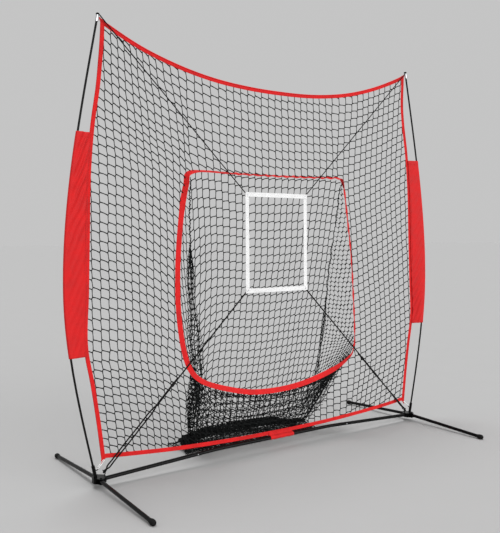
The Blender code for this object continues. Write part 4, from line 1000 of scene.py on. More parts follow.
def pocket_wall_place(side):
    """Side of the pocket, at an even pitch forward from its fold, so that the mouth's rim cuts it."""
    def place(u, v):
        fold_z = blend(POCKET_FOOT_Z - 0.06, POCKET_TOP_Z - 0.004, v)
        rim_z = max(fold_z, blend(0.38, 0.60, fold_z / 0.60))
        rim = Vector((mouth_side(side, rim_z) - side * 0.004, NET_Y + 0.004, rim_z))
        fold = Vector((pocket_fold(side, fold_z), pocket_y(fold_z), fold_z))
        share = u * WALL_REACH / max(0.04, (rim - fold).length)
        here = fold.lerp(rim, share)
        if share > 1.02:
            here.y = NET_Y
        slack = math.sin(math.pi * min(1.0, share)) * math.sin(math.pi * min(1, v * 1.1))
        here.x += 0.008 * slack * stray(here, 0.12, 13.0)
        here.z -= 0.006 * slack + 0.008 * slack * stray(here, 0.09, 17.0)
        return here

    return place


def in_wall(point):
    return point.y > NET_Y + 0.003


def fold_line_place(side, low_z, high_z, wide):
    """The fold itself, where back and side meet in two close strands."""
    def place(u, v):
        z = blend(low_z, high_z, v)
        here = Vector((pocket_fold(side, z), pocket_y(z) - 0.004, z))
        return here + Vector((0.82, -0.57, 0)) * (wide * (u - 0.5) + 0.002 * math.sin(z * 60.0))

    return place


def fold_bunch_place(side, top_z, widths):
    """Netting bunched round a fold of the pocket, in two loose ropes with pleats."""
    def place(u, v):
        z = blend(POCKET_FOOT_Z, top_z, v)
        wide = float(np.interp(z, *zip(*widths)))
        share = u - 0.5 + 0.07 * math.sin(4 * math.pi * u)
        pleat = math.sin(2 * math.pi * (u * 2.5 + v * 1.7)) * wide * 0.20
        fold = Vector((pocket_fold(side, z), pocket_y(z), z))
        spread = Vector((0.82, -0.57, 0)) * (wide * share + 0.006 * math.sin(z * 17.0 + u * 3.0))
        lift = Vector((0, 0, 0.012 * stray((u * 3, z, 0), 0.2, 19.0)))
        return fold + spread + Vector((-0.57, -0.82, 0)) * pleat + lift

    return place


def pocket_front_place(layer):
    """Lower front of the pocket, whose layers sag more or less between the mouth and the heap."""
    def place(u, v):
        across = 2 * u - 1
        rim_x = across * 0.56
        rim = Vector((rim_x, NET_Y + 0.003, mouth_foot(rim_x)))
        foot = Vector((blend(-0.44, 0.42, u), 0.205 + 0.045 * layer, 0.045))
        here = foot.lerp(rim, v)
        slack = math.sin(math.pi * v)
        here.y += slack * (0.010 * stray((across, v, layer), 0.4, 19.0) - 0.030 * layer)
        here.x += slack * 0.020 * stray((across * 2, layer, v), 0.5, 23.0)
        here.z += slack * (0.018 * stray((across * 3, v * 2, layer), 0.6, 29.0) - 0.020 * layer)
        return here

    return place


def gather_place(top, foot, wide, turns):
    """Bunched netting that hangs in a loose rope from one point to another."""
    def place(u, v):
        here = Vector(foot).lerp(Vector(top), v)
        turn = 2 * math.pi * u * turns + v * 3.0
        reach = wide * (0.35 + 0.65 * math.sin(math.pi * (0.15 + 0.75 * (1 - v))))
        reach *= 0.6 + 0.4 * math.cos(u * 9.0)
        return here + Vector((math.cos(turn), math.sin(turn) * 0.6, math.sin(turn * 0.7) * 0.4)) * reach

    return place


def rim_rope_place(u, v):
    """Doubled edge of the lower front, just under the mouth's tape."""
    x = blend(-0.42, 0.46, u)
    return Vector((x, NET_Y + 0.010, mouth_foot(x) - 0.026 - 0.005 * v - 0.004 * math.sin(u * 40.0) * v))


def apron_place(u, v):
    """Netting that lies in front of the heap, down to the floor behind the bar."""
    across = 2 * u - 1
    near = Vector((across * 0.40, 0.150 + 0.02 * across * across, 0.012))
    far = Vector((across * 0.43, 0.215, 0.030))
    here = near.lerp(far, v)
    here.z += 0.008 * math.sin(math.pi * v) * (1 + stray((across * 4, v, 0), 0.5, 71.0))
    here.x += 0.015 * stray((across * 3, v * 2, 0), 0.5, 73.0)
    return here


def roll_at(share):
    """Centre and radius of the bunched roll along the heap's crest."""
    count = len(HEAP_ROLL)
    place = share * (count - 1)
    values = [float(np.interp(place, range(count), [point[axis] for point in HEAP_ROLL]))
              for axis in range(4)]
    return Vector(values[:3]), values[3]


def roll_place(u, v):
    """Netting rolled up several times along the crest of the heap."""
    centre, radius = roll_at(u)
    turn = 2 * math.pi * v * ROLL_TURNS + 2.0 * math.sin(u * 9.0)
    reach = radius * (1 - 0.55 * v) * (1 + 0.16 * stray((u * 9, v * 7, 0), 0.6, 31.0))
    here = centre + Vector((0, math.cos(turn) * 1.15, math.sin(turn))) * reach
    here.x += 0.012 * stray((u * 7, v * 5, 0), 0.5, 33.0)
    return held_in_heap(here)


def slope_place(front, layer):
    """Loose folds of netting from the roll down to the floor, before or behind it."""
    def place(u, v):
        centre, radius = roll_at(u)
        centre.z += radius * 0.55
        edge_y = HEAP_LOW[1] + 0.010 if front else HEAP_HIGH[1] - 0.008
        foot = Vector((centre.x * 1.04, edge_y, 0.004))
        here = foot.lerp(centre, v)
        here.z += 0.007 * math.sin(v * 9.0 + u * 20.0 + layer) * math.sin(math.pi * v)
        here.z -= 0.008 * layer * v
        here.x += 0.018 * stray((u * 8, v * 3, layer), 0.5, 41.0)
        here.y += 0.008 * stray((u * 9, v * 4, layer), 0.5, 43.0)
        return held_in_heap(here)

    return place


def held_in_heap(point):
    """Keeps a point in the heap's box, with a little room beyond its left and right ends."""
    point.x = min(HEAP_HIGH.x + 0.010, max(HEAP_LOW.x - 0.024, point.x))
    point.y = min(HEAP_HIGH.y - 0.004, max(HEAP_LOW.y + 0.003, point.y))
    point.z = min(HEAP_HIGH.z - 0.004, max(HEAP_LOW.z + 0.009, point.z))
    return point


class OBJECT_OT_net_front(bpy.types.Operator):
    """Makes the front netting round the pocket's mouth"""
    bl_idname = "practice_net.front"
    bl_label = "Front netting"

    def execute(self, context):
        sizes = context.scene.net_netting
        guide = Guide("front_netting", sizes.slack, sizes.joint, 1)
        guide.lattice(sizes.columns, sizes.rows, front_place, in_front_net,
                      lie=lambda point: smooth(0.45, 0.70, point.x))
        netting(guide, netting_tree(), sizes,
                ("net_top_panel", "net_left_panel", "net_right_panel", "net_bottom_panel"), 1)
        return {"FINISHED"}


class OBJECT_OT_net_pocket(bpy.types.Operator):
    """Makes the catch pocket's back, sides and lower front, and the netting heaped at its foot"""
    bl_idname = "practice_net.pocket"
    bl_label = "Catch pocket"

    def execute(self, context):
        sizes = context.scene.net_netting
        tree = netting_tree()
        back = Guide("pocket_back", sizes.slack, sizes.joint, 2)
        back.lattice(sizes.pocket_columns, sizes.pocket_rows, pocket_back_place, in_pocket_back, hand=-1)
        netting(back, tree, sizes, ("pocket_back_net",), 2)
        for side_name, side in SIDES:
            wall = Guide("pocket_" + side_name + "_side", sizes.slack * 1.6, sizes.joint, 3 + side)
            columns, rows, fine, knot = WALL_CELLS[side]
            wall.lattice(columns, rows, pocket_wall_place(side), in_wall, hand=side, fine=fine, knot=knot)
            for columns, rows, top_z, widths in FOLD_BUNCHES[side]:
                wall.lattice(columns, rows, fold_bunch_place(side, top_z, widths), hand=side, edges=True,
                             fine=0.8)
            columns, rows, low_z, high_z, wide = FOLD_LINES[side]
            wall.lattice(columns, rows, fold_line_place(side, low_z, high_z, wide), hand=side, edges=True)
            netting(wall, tree, sizes, ("pocket_" + side_name + "_net",), 3 + side)
        front = Guide("pocket_lower_front", sizes.slack * 2.0, sizes.joint, 6)
        for layer in range(2):
            front.lattice(*LOWER_FRONT_CELLS, pocket_front_place(layer), fine=0.8)
        front.lattice(*APRON_CELLS, apron_place)
        for top, foot, wide, turns in GATHERS:
            front.lattice(*GATHER_CELLS, gather_place(top, foot, wide, turns))
        front.lattice(*RIM_CELLS, rim_rope_place, edges=True)
        netting(front, tree, sizes, ("pocket_front_net",), 6)
        heap = Guide("pocket_heap", sizes.slack * 2.0, sizes.joint, 7)
        heap.lattice(*ROLL_CELLS, roll_place, edges=True)
        heap.lattice(*FRONT_SLOPE_CELLS[0], slope_place(True, 0), edges=True)
        heap.lattice(*FRONT_SLOPE_CELLS[1], slope_place(True, 1))
        heap.lattice(*BACK_SLOPE_CELLS, slope_place(False, 0), edges=True)
        netting(heap, tree, sizes, ("pocket_base_net",), 7)
        return {"FINISHED"}


# Tapes

def tape_section(width, roll, flange=0.0014):
    """Closed section of a hemmed tape: a rolled outer edge, then a flat flange. (inward, forward) points."""
    if roll == 0:
        half = flange / 2
        return [(0, -half), (width / 2, -half * 1.2), (width, -half), (width, half), (width / 2, half * 1.2),
                (0, half)]
    points = []
    for step in range(9):
        turn = math.radians(40 + 35 * step)
        points.append((roll - roll * math.cos(turn), roll * math.sin(turn)))
    start = roll * 2.0
    half = flange / 2
    flat_part = [(start, -half), (blend(start, width, 0.5), -half * 1.5), (width - 0.001, -half), (width, 0),
                 (width - 0.001, half), (blend(start, width, 0.5), half * 1.5), (start, half)]
    return points + flat_part


def tape(name, edge, inward, width, roll, nodes, closed=False, lean=None, widths=None):
    """Tape swept along its outer edge of (x, z) points, leaning out of the net's plane where asked."""
    section = tape_section(width, roll)
    rings = []
    for index, (x, z) in enumerate(edge):
        side = Vector((inward[index][0], 0, inward[index][1]))
        angle = lean[index] if lean else 0.0
        grow = widths[index] if widths else 0.0
        ring = []
        for across, forward in section:
            reach = across - width / 2 if closed else across
            if widths and across > 2 * roll:
                reach += grow
            flat_x = reach * math.cos(angle) + forward * math.sin(angle)
            depth = reach * math.sin(angle) - forward * math.cos(angle)
            ring.append(Vector((x, TAPE_Y + corner_lean(x, z), z)) + side * flat_x + Vector((0, depth, 0)))
        rings.append(ring)
    middle = [Vector((x, 0, z)) for x, z in edge]
    girth = run_lengths([(across, forward, 0) for across, forward in section], True)
    made = swept(name, rings, closed, run_lengths(middle, closed), girth)
    return dress(made, Finishes.get("tape"), nodes)


def inward_of(points, closed=False, turn=1):
    """Unit vectors square to a line of (x, z) points, to one side."""
    made = []
    count = len(points)
    for index in range(count):
        before = points[index - 1] if closed or index > 0 else points[index]
        ahead = points[(index + 1) % count] if closed or index < count - 1 else points[index]
        along = Vector(ahead) - Vector(before)
        made.append(Vector((-along.y, along.x)).normalized() * turn)
    return made


def corner_lean(x, z):
    """Shift in y of the net's top corners, which are drawn forwards to the poles."""
    return -CORNER_LEAN * smooth(2.00, NET_HIGH_Z, z) * smooth(0.75, 1.04, abs(x))


def side_tape_edge(side):
    """Outer edge of a side tape: up the net's side, then out to the pole's ferrule."""
    tab_foot = NET_HIGH_Z - CORNER_TAB_HEIGHT
    heights = [float(z) for z in np.linspace(NET_LOW_Z, tab_foot, 150)]
    edge = [(side * net_side(z), z) for z in heights]
    for z in np.linspace(tab_foot + 0.002, NET_HIGH_Z, 12):
        share = smooth(0, CORNER_TAB_HEIGHT, float(z) - tab_foot)
        edge.append((side * blend(net_side(float(z)), bow(float(z)) - FERRULE_GAP, share), float(z)))
    return edge


def corner_cut(x, z):
    """Change of a side tape's width, which keeps its top below the slope of the net's top."""
    inner = net_side(z) - TAPE_WIDTH
    while net_top(inner) < z and inner < abs(x) - 0.005:
        inner += 0.0005
    return abs(x) - inner - TAPE_WIDTH


class OBJECT_OT_net_tapes(bpy.types.Operator):
    """Makes the red tapes round the net and its mouth, their corner tabs and stitches, and the bar's tab"""
    bl_idname = "practice_net.tapes"
    bl_label = "Binding tapes"

    def execute(self, context):
        sewing = context.scene.net_sewing
        self.lines = []
        for side_name, side in SIDES:
            self.side_tape(side_name, side, sewing.hem_cord)
        self.level_tape("top_tape", net_top, NET_HIGH_Z, -1, sewing.hem_cord, "binding_top")
        self.level_tape("bottom_tape", net_bottom, NET_LOW_Z, 1, sewing.hem_cord, "binding_bottom")
        self.mouth_tape()
        self.bar_tab()
        sew("tape_stitches", self.lines, sewing.stitch_pitch, sewing.stitch_length, sewing.thread, "thread")
        return {"FINISHED"}

    def side_tape(self, side_name, side, roll):
        edge = side_tape_edge(side)
        inward = [Vector((-side, 0))] * len(edge)
        grow = [corner_cut(x, z) for x, z in edge]
        tape(side_name + "_side_tape", edge, inward, TAPE_WIDTH, roll, ("binding_" + side_name,), widths=grow)
        inset = side * (TAPE_WIDTH - TAPE_STITCH_INSET)
        self.lines.append([Vector((x - inset, TAPE_Y + corner_lean(x, z) - TAPE_STITCH_LIFT, z))
                           for x, z in edge if z < SIDE_STITCH_TOP_Z])
        corner_x = net_side(NET_LOW_Z)
        outline = [(corner_x - TAPE_WIDTH, 0.1315), (corner_x - 0.001, 0.1315), (corner_x + 0.0005, 0.120),
                   (corner_x + 0.002, 0.107), (corner_x - 0.0025, 0.109), (corner_x - 0.011, 0.121),
                   (corner_x - TAPE_WIDTH, 0.1285)]
        tab = flat_piece(side_name + "_corner_tab", [(side * x, z) for x, z in outline],
                         CORNER_TAB_THICKNESS, TAPE_Y)
        dress(tab, Finishes.get("tape"))

    def level_tape(self, name, edge_of, height, rise, roll, node):
        reach = net_side(height) - TAPE_WIDTH + 0.003
        places = [float(x) for x in np.linspace(-reach, reach, 170)]
        sway = 0.0015
        edge = [(x, edge_of(x) + rise * (sway + sway * stray((x, 0, 0), 0.25, 43.0))) for x in places]
        tape(name, edge, inward_of(edge, turn=rise), TAPE_WIDTH, roll, (node,))
        inset = rise * (TAPE_WIDTH - TAPE_STITCH_INSET)
        self.lines.append([Vector((x, TAPE_Y + corner_lean(x, z) - TAPE_STITCH_LIFT, z + inset))
                           for x, z in edge])

    def mouth_tape(self):
        """Ring of flat tape, which leans out of the net's plane at its right, top and foot."""
        ring = [(point.x, point.y) for point in MOUTH_CURVE]
        inward = inward_of(ring, True, -1)
        lean = [math.radians(mouth_lean(x, z)) for x, z in ring]
        tape("mouth_tape", ring, inward, MOUTH_TAPE_WIDTH, 0, ("mouth_binding",), closed=True, lean=lean)
        for shift in (-MOUTH_STITCH_OFFSET, MOUTH_STITCH_OFFSET):
            line = []
            for (x, z), side, angle in zip(ring, inward, lean):
                reach = shift * math.cos(angle) - MOUTH_STITCH_LIFT * math.sin(angle)
                y = TAPE_Y + shift * math.sin(angle) - MOUTH_STITCH_LIFT * math.cos(angle)
                line.append(Vector((x + side.x * reach, y, z + side.y * reach)))
            self.lines.append(line + [line[0]])

    def bar_tab(self):
        """Strip of tape folded round the bar and sewn to the net's bottom."""
        low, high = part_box("bar_tab")
        section = [(TAPE_Y - BAR_TAB_FRONT, high[2]),
                   (TAPE_Y - BAR_TAB_FRONT - 0.0002, BAR_Z + BAR_WRAP + 0.004)]
        for step in range(23):
            turn = math.radians(70 + 12 * step)
            section.append((BAR_WRAP * math.cos(turn), BAR_Z + BAR_WRAP * math.sin(turn)))
        section.append((TAPE_Y + BAR_TAB_BACK, BAR_Z + BAR_WRAP * 0.8))
        section.append((TAPE_Y + BAR_TAB_BACK, high[2] - 0.009))
        places = [float(x) for x in np.linspace(low[0], high[0], 60)]
        rows = []
        for x in places:
            pull = 0.0006 * math.sin((x - low[0]) * 130) + 0.0005 * stray((x, 0, 0), 0.03, 47.0)
            rows.append([Vector((x, y, z + pull)) for y, z in section])
        made = cloth_shell("bar_tab_cloth", rows, BAR_TAB_THICKNESS)
        dress(made, Finishes.get("tape"), ("bar_tab",))


def mouth_lean(x, z):
    """Degrees by which the mouth's tape turns edge on: flat on the left, twisted at the right and top."""
    if z > 1.50:
        twisted = -66.0 + 15 * math.sin(x * 95.0) * smooth(-0.40, -0.2, x)
        return blend(twisted, -48.0, 1 - smooth(-0.56, -0.48, x))
    right = smooth(0.35, 0.585, x)
    left = blend(4.0, -46.0, smooth(1.30, 1.50, z))
    side = blend(left, -33.0 + 6 * math.sin(z * 61.0), right)
    foot = blend(28.0, -30.0, smooth(0.30, 0.60, x))
    return blend(side, foot, 1 - smooth(0.42, 0.53, z))


def flat_piece(name, outline, thickness, y):
    """Flat upright piece from an (x, z) outline, with a UV map in metres."""
    bm = bmesh.new()
    weave = bm.loops.layers.uv.new("weave")
    front = [bm.verts.new((x, y - thickness / 2, z)) for x, z in outline]
    back = [bm.verts.new((x, y + thickness / 2, z)) for x, z in outline]
    bm.faces.new(front)
    bm.faces.new(list(reversed(back)))
    for index in range(len(outline)):
        bm.faces.new((front[index - 1], front[index], back[index], back[index - 1]))
    for face in bm.faces:
        for loop in face.loops:
            loop[weave].uv = (loop.vert.co.x, loop.vert.co.z)
    bmesh.ops.recalc_face_normals(bm, faces=bm.faces)
    return built(name, bm)


def cloth_shell(name, rows, thickness):
    """Cloth of a real thickness from rows of points, closed all round, with a UV map in metres."""
    bm = bmesh.new()
    across = run_lengths(rows[len(rows) // 2])
    skin(bm, rows, run_lengths([row[len(row) // 2] for row in rows]), across, False)
    carrier = built(name + "_guide", bm)
    shell = carrier.modifiers.new("cloth", "SOLIDIFY")
    shell.thickness = thickness
    shell.offset = 0
    shell.use_even_offset = True
    made = bpy.data.meshes.new_from_object(carrier.evaluated_get(bpy.context.evaluated_depsgraph_get()))
    made.name = name
    bpy.data.objects.remove(carrier)
    bm = bmesh.new()
    bm.from_mesh(made)
    bmesh.ops.recalc_face_normals(bm, faces=bm.faces)
    bm.to_mesh(made)
    bm.free()
    return new_object(name, made)


# Side sleeves

def sleeve_section(z):
    """Cloth section at a height: from the seam before the tape, round the pole and back behind the tape."""
    inner = net_side(z) - SLEEVE_SEAM
    centre = bow(z)
    front_y = TAPE_Y - 0.0046
    back_y = TAPE_Y + 0.0048
    front = [(blend(inner, centre, share), blend(front_y, -POLE_WRAP, share ** 0.9))
             for share in np.linspace(0, 0.94, SLEEVE_FRONT_POINTS)]
    ring = [(centre + POLE_WRAP * math.cos(math.radians(turn)), POLE_WRAP * math.sin(math.radians(turn)))
            for turn in range(-80, 81, 20)]
    edge = net_side(z) + 0.003
    back = [(blend(centre, edge, share), blend(POLE_WRAP, back_y, share))
            for share in np.linspace(0.08, 1, 12)]
    return front + ring + back + [(blend(edge, inner, share), back_y) for share in (0.5, 1.0)]


def sleeve_wrinkle(sewing, side, outward, z, share):
    """Forward swell of the cloth: slanting folds near one end, soft ones elsewhere."""
    height = (z - SLEEVE_LOW_Z) / (SLEEVE_HIGH_Z - SLEEVE_LOW_Z)
    free = math.sin(math.pi * min(1.0, share / 0.97)) ** 0.6
    slant, deepest = SLEEVE_FOLDS[side]
    phase = z - slant * (outward - POLE_BELLY_X) + 0.020 * stray((outward, 0, z), 0.12, 53.0)
    sharp = (0.5 + 0.5 * math.sin(2 * math.pi * phase / sewing.wrinkle_pitch)) ** 1.6
    strength = 0.16 + 0.84 * bell(height, deepest, FOLD_REACH)
    soft = 0.0012 * stray((outward * 2, 0, z), 0.10, 59.0)
    return free * (sewing.wrinkle * strength * sharp + soft)


def hem(z, depth=0.025, rise=0.0006):
    """Extra thickness of the turned hems at the sleeve's ends."""
    near = min(z - SLEEVE_LOW_Z, SLEEVE_HIGH_Z - z)
    return rise * (1 - smooth(depth - 0.0015, depth, near))


class OBJECT_OT_net_sleeves(bpy.types.Operator):
    """Makes the two red cloth sleeves over the poles, with their folds, hems and stitching"""
    bl_idname = "practice_net.sleeves"
    bl_label = "Side sleeves"

    def execute(self, context):
        sewing = context.scene.net_sewing
        for side_name, side in SIDES:
            self.sleeve(side_name, side, sewing)
        return {"FINISHED"}

    def sleeve(self, side_name, side, sewing):
        rows, widths = [], []
        for z in np.linspace(SLEEVE_LOW_Z, SLEEVE_HIGH_Z, 190):
            z = float(z)
            section = sleeve_section(z)
            reach = bow(z) - (net_side(z) - SLEEVE_SEAM)
            row = []
            for index, (x, y) in enumerate(section):
                share = (x - (net_side(z) - SLEEVE_SEAM)) / reach
                front = index < SLEEVE_FRONT_POINTS
                swell = sleeve_wrinkle(sewing, side, x, z, share) if front else 0.0
                row.append(Vector((side * x, y - swell - (hem(z) if index < 31 else 0.0), z)))
            rows.append(row)
            widths.append(run_lengths(row)[-1])
        made = cloth_shell(side_name + "_sleeve_cloth", rows, sewing.cloth)
        dress(made, Finishes.get("cloth"), (side_name + "_side_sleeve",))
        self.stitches(side_name, side, rows, sewing)

    def stitches(self, side_name, side, rows, sewing):
        """A bold seam down the upper half, two fine rows beside it and one along each hem."""
        lift = Vector((0, -CLOTH_STITCH_LIFT, 0))
        sew(side_name + "_sleeve_seam", [[row[2] + lift for row in rows[SEAM_ROWS]]], SEAM_PITCH,
            SEAM_LENGTH, SEAM_RADIUS, "seam")
        lines = [[row[0] + Vector((side * inset, -0.0008, 0)) for row in rows] for inset in (0.002, 0.0045)]
        lines += [[point + lift for point in row[:SLEEVE_FRONT_POINTS]] for row in (rows[4], rows[-5])]
        pitch, length = (size * SLEEVE_STITCH_SHARE for size in (sewing.stitch_pitch, sewing.stitch_length))
        sew(side_name + "_sleeve_stitches", lines, pitch, length, sewing.thread, "thread")


# Strike zone

def strap(part, start, end, y):
    """Webbing strap between two (x, z) points, with thick selvedges and a slight ripple."""
    start, end = Vector((start[0], 0, start[1])), Vector((end[0], 0, end[1]))
    along = (end - start).normalized()
    square = Vector((along.z, 0, -along.x))
    half, wide = STRAP_THICKNESS / 2, STRAP_WIDTH / 2
    front = [(-wide, 0), (-wide + 0.0006, half), (-wide + 0.003, half * 0.8), (0, half * 0.75),
             (wide - 0.003, half * 0.8), (wide - 0.0006, half), (wide, 0)]
    section = front + [(across, -forward) for across, forward in reversed(front[1:-1])]
    rings = []
    count = 90
    for step in range(count + 1):
        share = step / count
        here = start.lerp(end, share)
        here.y = y
        here += square * 0.0008 * stray(here, 0.08, 61.0)
        twist = math.radians(4) * math.sin(math.pi * share) * stray(here, 0.15, 67.0)
        ring = []
        for across, forward in section:
            ring.append(here + square * (across * math.cos(twist) - forward * math.sin(twist))
                        + Vector((0, -forward * math.cos(twist) - across * math.sin(twist), 0)))
        rings.append(ring)
    lengths = [(end - start).length * step / count for step in range(count + 1)]
    girth = run_lengths([(across, forward, 0) for across, forward in section], True)
    made = swept("zone_" + part + "_webbing", rings, False, lengths, girth)
    return dress(made, Finishes.get("webbing"), ("zone_" + part + "_strap",))


def eyelet(name, centre):
    """Rolled metal ring set through the straps."""
    turns = [math.radians(15 * step) for step in range(24)]
    middle = (EYELET_OUTER + EYELET_INNER) / 2
    points = [centre + Vector((math.cos(turn) * middle, 0, math.sin(turn) * middle)) for turn in turns]
    made = round_tube(name, points, (EYELET_OUTER - EYELET_INNER) / 2, 10, closed=True)
    return dress(made, Finishes.get("zinc"))


class OBJECT_OT_net_zone(bpy.types.Operator):
    """Makes the strike zone's four white straps, with box stitches and eyelets at its corners"""
    bl_idname = "practice_net.zone"
    bl_label = "Strike zone"

    def execute(self, context):
        half = ZONE_HALF_WIDTH - STRAP_WIDTH / 2
        low, high = ZONE_LOW_Z + STRAP_WIDTH / 2, ZONE_HIGH_Z - STRAP_WIDTH / 2
        full = ZONE_HALF_WIDTH
        strap("top", (-full, high), (full, high), STRAP_FRONT_Y)
        strap("bottom", (-full, low), (full, low), STRAP_FRONT_Y)
        for side_name, side in SIDES:
            strap(side_name, (side * half, ZONE_LOW_Z), (side * half, ZONE_HIGH_Z), STRAP_BACK_Y)
        self.corners(context.scene.net_sewing, half, low, high)
        return {"FINISHED"}

    def corners(self, sewing, half, low, high):
        """Box stitch with a cross in it, and an eyelet, at each corner."""
        lines = []
        y = STRAP_FRONT_Y - STRAP_THICKNESS / 2
        for side_name, side in SIDES:
            for level_name, level in (("lower", low), ("upper", high)):
                centre = Vector((side * half, y, level))
                square = [centre + Vector((x * BOX_STITCH_HALF, 0, z * BOX_STITCH_HALF))
                          for x, z in ((-1, -1), (1, -1), (1, 1), (-1, 1))]
                lines += [(square[start], square[end])
                          for start, end in ((0, 1), (1, 2), (2, 3), (3, 0), (0, 2), (1, 3))]
                eyelet("zone_" + side_name + "_" + level_name + "_eyelet", centre)
        sew("zone_stitches", lines, BOX_STITCH_PITCH, BOX_STITCH_LENGTH, sewing.thread, "white_thread")


# Elastic cords

def tip_neck():
    """Centre of the neck of the right pole's cap, and the direction across it."""
    foot = Vector((POLE_TIP_X, 0, POLE_TIP_Z))
    above, below = POLE_TIP_Z + 0.003, POLE_TIP_Z + 0.001
    upward = Vector((bow(above) - bow(below), 0, above - below)).normalized()
    centre = foot + upward * (TIP_FERRULE_LENGTH + CORD_GAP + TIP_NECK_MIDDLE)
    return centre, Vector((1, 0, -POLE_TIP_SLOPE)).normalized()


def upper_cord_path(side):
    """From behind the strike zone's corner to a loop round the pole cap's neck."""
    radius = UPPER_CORD_DIAMETER / 2
    ring = TIP_NECK_RADIUS + CORD_GAP + radius
    start = Vector((ZONE_HALF_WIDTH - STRAP_WIDTH / 2, CORD_BACK_Y + CORD_GAP + radius,
                    ZONE_HIGH_Z - STRAP_WIDTH / 2))
    centre, across = tip_neck()
    toward = (start - centre).normalized()
    route = [centre + toward * reach + Vector((0, y, 0)) for reach, y in
             ((0.050, -0.0078), (0.036, -0.0086), (0.024, -0.0092), (0.015, -0.0094), (0.008, -0.0090))]
    for step in range(11):
        turn = math.radians(-90 + 24 * step)
        route.append(centre + across * (ring * math.cos(turn)) + Vector((0, ring * math.sin(turn), 0)))
    line = [start.lerp(route[0], step / 40) for step in range(40)] + fine_line(route, 0.0015)
    return [Vector((side * point.x, point.y, point.z)) for point in line]


def lower_cord_path(side):
    """From behind the strike zone's corner, through the slider, round the hub's hook and back to its tail."""
    radius = LOWER_CORD_DIAMETER / 2
    corner_y = CORD_BACK_Y + CORD_GAP + radius
    start = Vector((side * (ZONE_HALF_WIDTH - STRAP_WIDTH / 2), 0, ZONE_LOW_Z + STRAP_WIDTH / 2))
    hook = Vector((side * HOOK_X, 0, HOOK_Z))
    upward = (start - hook).normalized()
    length = (start - hook).length
    tail = TAIL_FROM_HOOK
    wide = LOOP_SPREAD[side]
    opening = through([(0.0, HOOK_RING), (0.01, HOOK_RING), (0.03, wide), (0.06, wide), (0.36, wide)]
                      + [(place, STRAND_SPREAD) for place in (0.49, 0.50, 0.52, length)])
    turned_by = through(STRAND_TURN)
    square = Vector((-upward.z, 0, upward.x)) * side

    def apart(place):
        turn = math.radians(turned_by(place))
        return (Vector((0, math.cos(turn), 0)) + square * math.sin(turn)) * opening(place)

    points = []
    for place in np.linspace(length, tail + 0.01, 30):
        y = blend(-STRAND_SPREAD, corner_y, (float(place) - tail) / (length - tail))
        points.append(hook + upward * float(place) + Vector((0, y, 0)))
    reaches = [float(place) for place in (*np.linspace(tail, 0.16, 36), *np.linspace(0.15, 0, 31))]
    points += [hook + upward * place - apart(place) for place in reaches]
    for step in range(1, 18):
        turn = math.radians(10 * step)
        points.append(hook - Vector((0, HOOK_RING * math.cos(turn),
                                     0)) - upward * (HOOK_RING * math.sin(turn)))
    points += [hook + upward * place + apart(place) for place in reversed(reaches)]
    return points


class OBJECT_OT_net_cords(bpy.types.Operator):
    """Makes the four elastic cords at their real length and the white loops at the net's lower corners"""
    bl_idname = "practice_net.cords"
    bl_label = "Elastic cords"

    def execute(self, context):
        for side_name, side in SIDES:
            self.cord(side_name + "_upper_elastic", upper_cord_path(side), UPPER_CORD_DIAMETER,
                      Finishes.get("upper_cord"), side_name + "_upper_cord")
            self.cord(side_name + "_lower_elastic", lower_cord_path(side), LOWER_CORD_DIAMETER,
                      Finishes.get("lower_cord"), side_name + "_lower_cord")
            self.corner_loop(side_name, side)
        return {"FINISHED"}

    def cord(self, name, path, diameter, mat, node):
        made = round_tube(name, path, diameter / 2, 12)
        dress(made, mat, (node,))

    def corner_loop(self, side_name, side):
        """Elastic ring from the socket's hook to the net's lower corner."""
        half = 0.0052
        hook = Vector((SOCKET_TOP_X - 0.0256, 0, SOCKET_TOP_Z - 0.0183 + 0.005))
        corner = Vector((net_side(NET_LOW_Z) - 0.008, TAPE_Y - 0.0021 - 0.0015 - half, NET_LOW_Z - 0.007))
        down = (hook - corner).normalized()
        across = down.cross(Vector((0, 0, 1))).normalized()
        points = []
        for centre, first in ((hook, -90), (corner, 90)):
            for step in range(13):
                turn = math.radians(first + 15 * step)
                points.append(centre + down * (half * math.cos(turn)) + across * (half * math.sin(turn)))
        points = [Vector((side * point.x, point.y, point.z)) for point in points]
        made = round_tube(side_name + "_corner_elastic", points, LOOP_CORD_DIAMETER / 2, 10, closed=True)
        dress(made, Finishes.get("loop_cord"), (side_name + "_corner_loop",))


# Finishes on the frame

def finish_of(node):
    if "snap_button" in node or "tip_ferrule" in node:
        return "zinc"
    if "leg_cap" in node:
        return "rubber"
    if "tip_cap" in node or "slider" in node:
        return "plastic"
    if any(word in node for word in ("pole_socket", "leg", "bolt", "hub_bracket", "base_bar")):
        return "paint"
    return "rod"


class OBJECT_OT_net_finishes(bpy.types.Operator):
    """Gives the frame's own parts their finishes"""
    bl_idname = "practice_net.finishes"
    bl_label = "Frame finishes"

    def execute(self, context):
        for name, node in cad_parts.items():
            if not node.hide_render:
                node.data.materials.clear()
                node.data.materials.append(Finishes.get(finish_of(name)))
        return {"FINISHED"}


# Stage

FLOOR_GAP = 0.0004
FLOOR_SIZE = 400.0
OVERHEAD_PLACE = (0.0, 1.4, 6.0)
FRONT_PLACE = (0.8, -5.5, 2.8)
LIT_MIDDLE = (0, 0.1, 0.9)


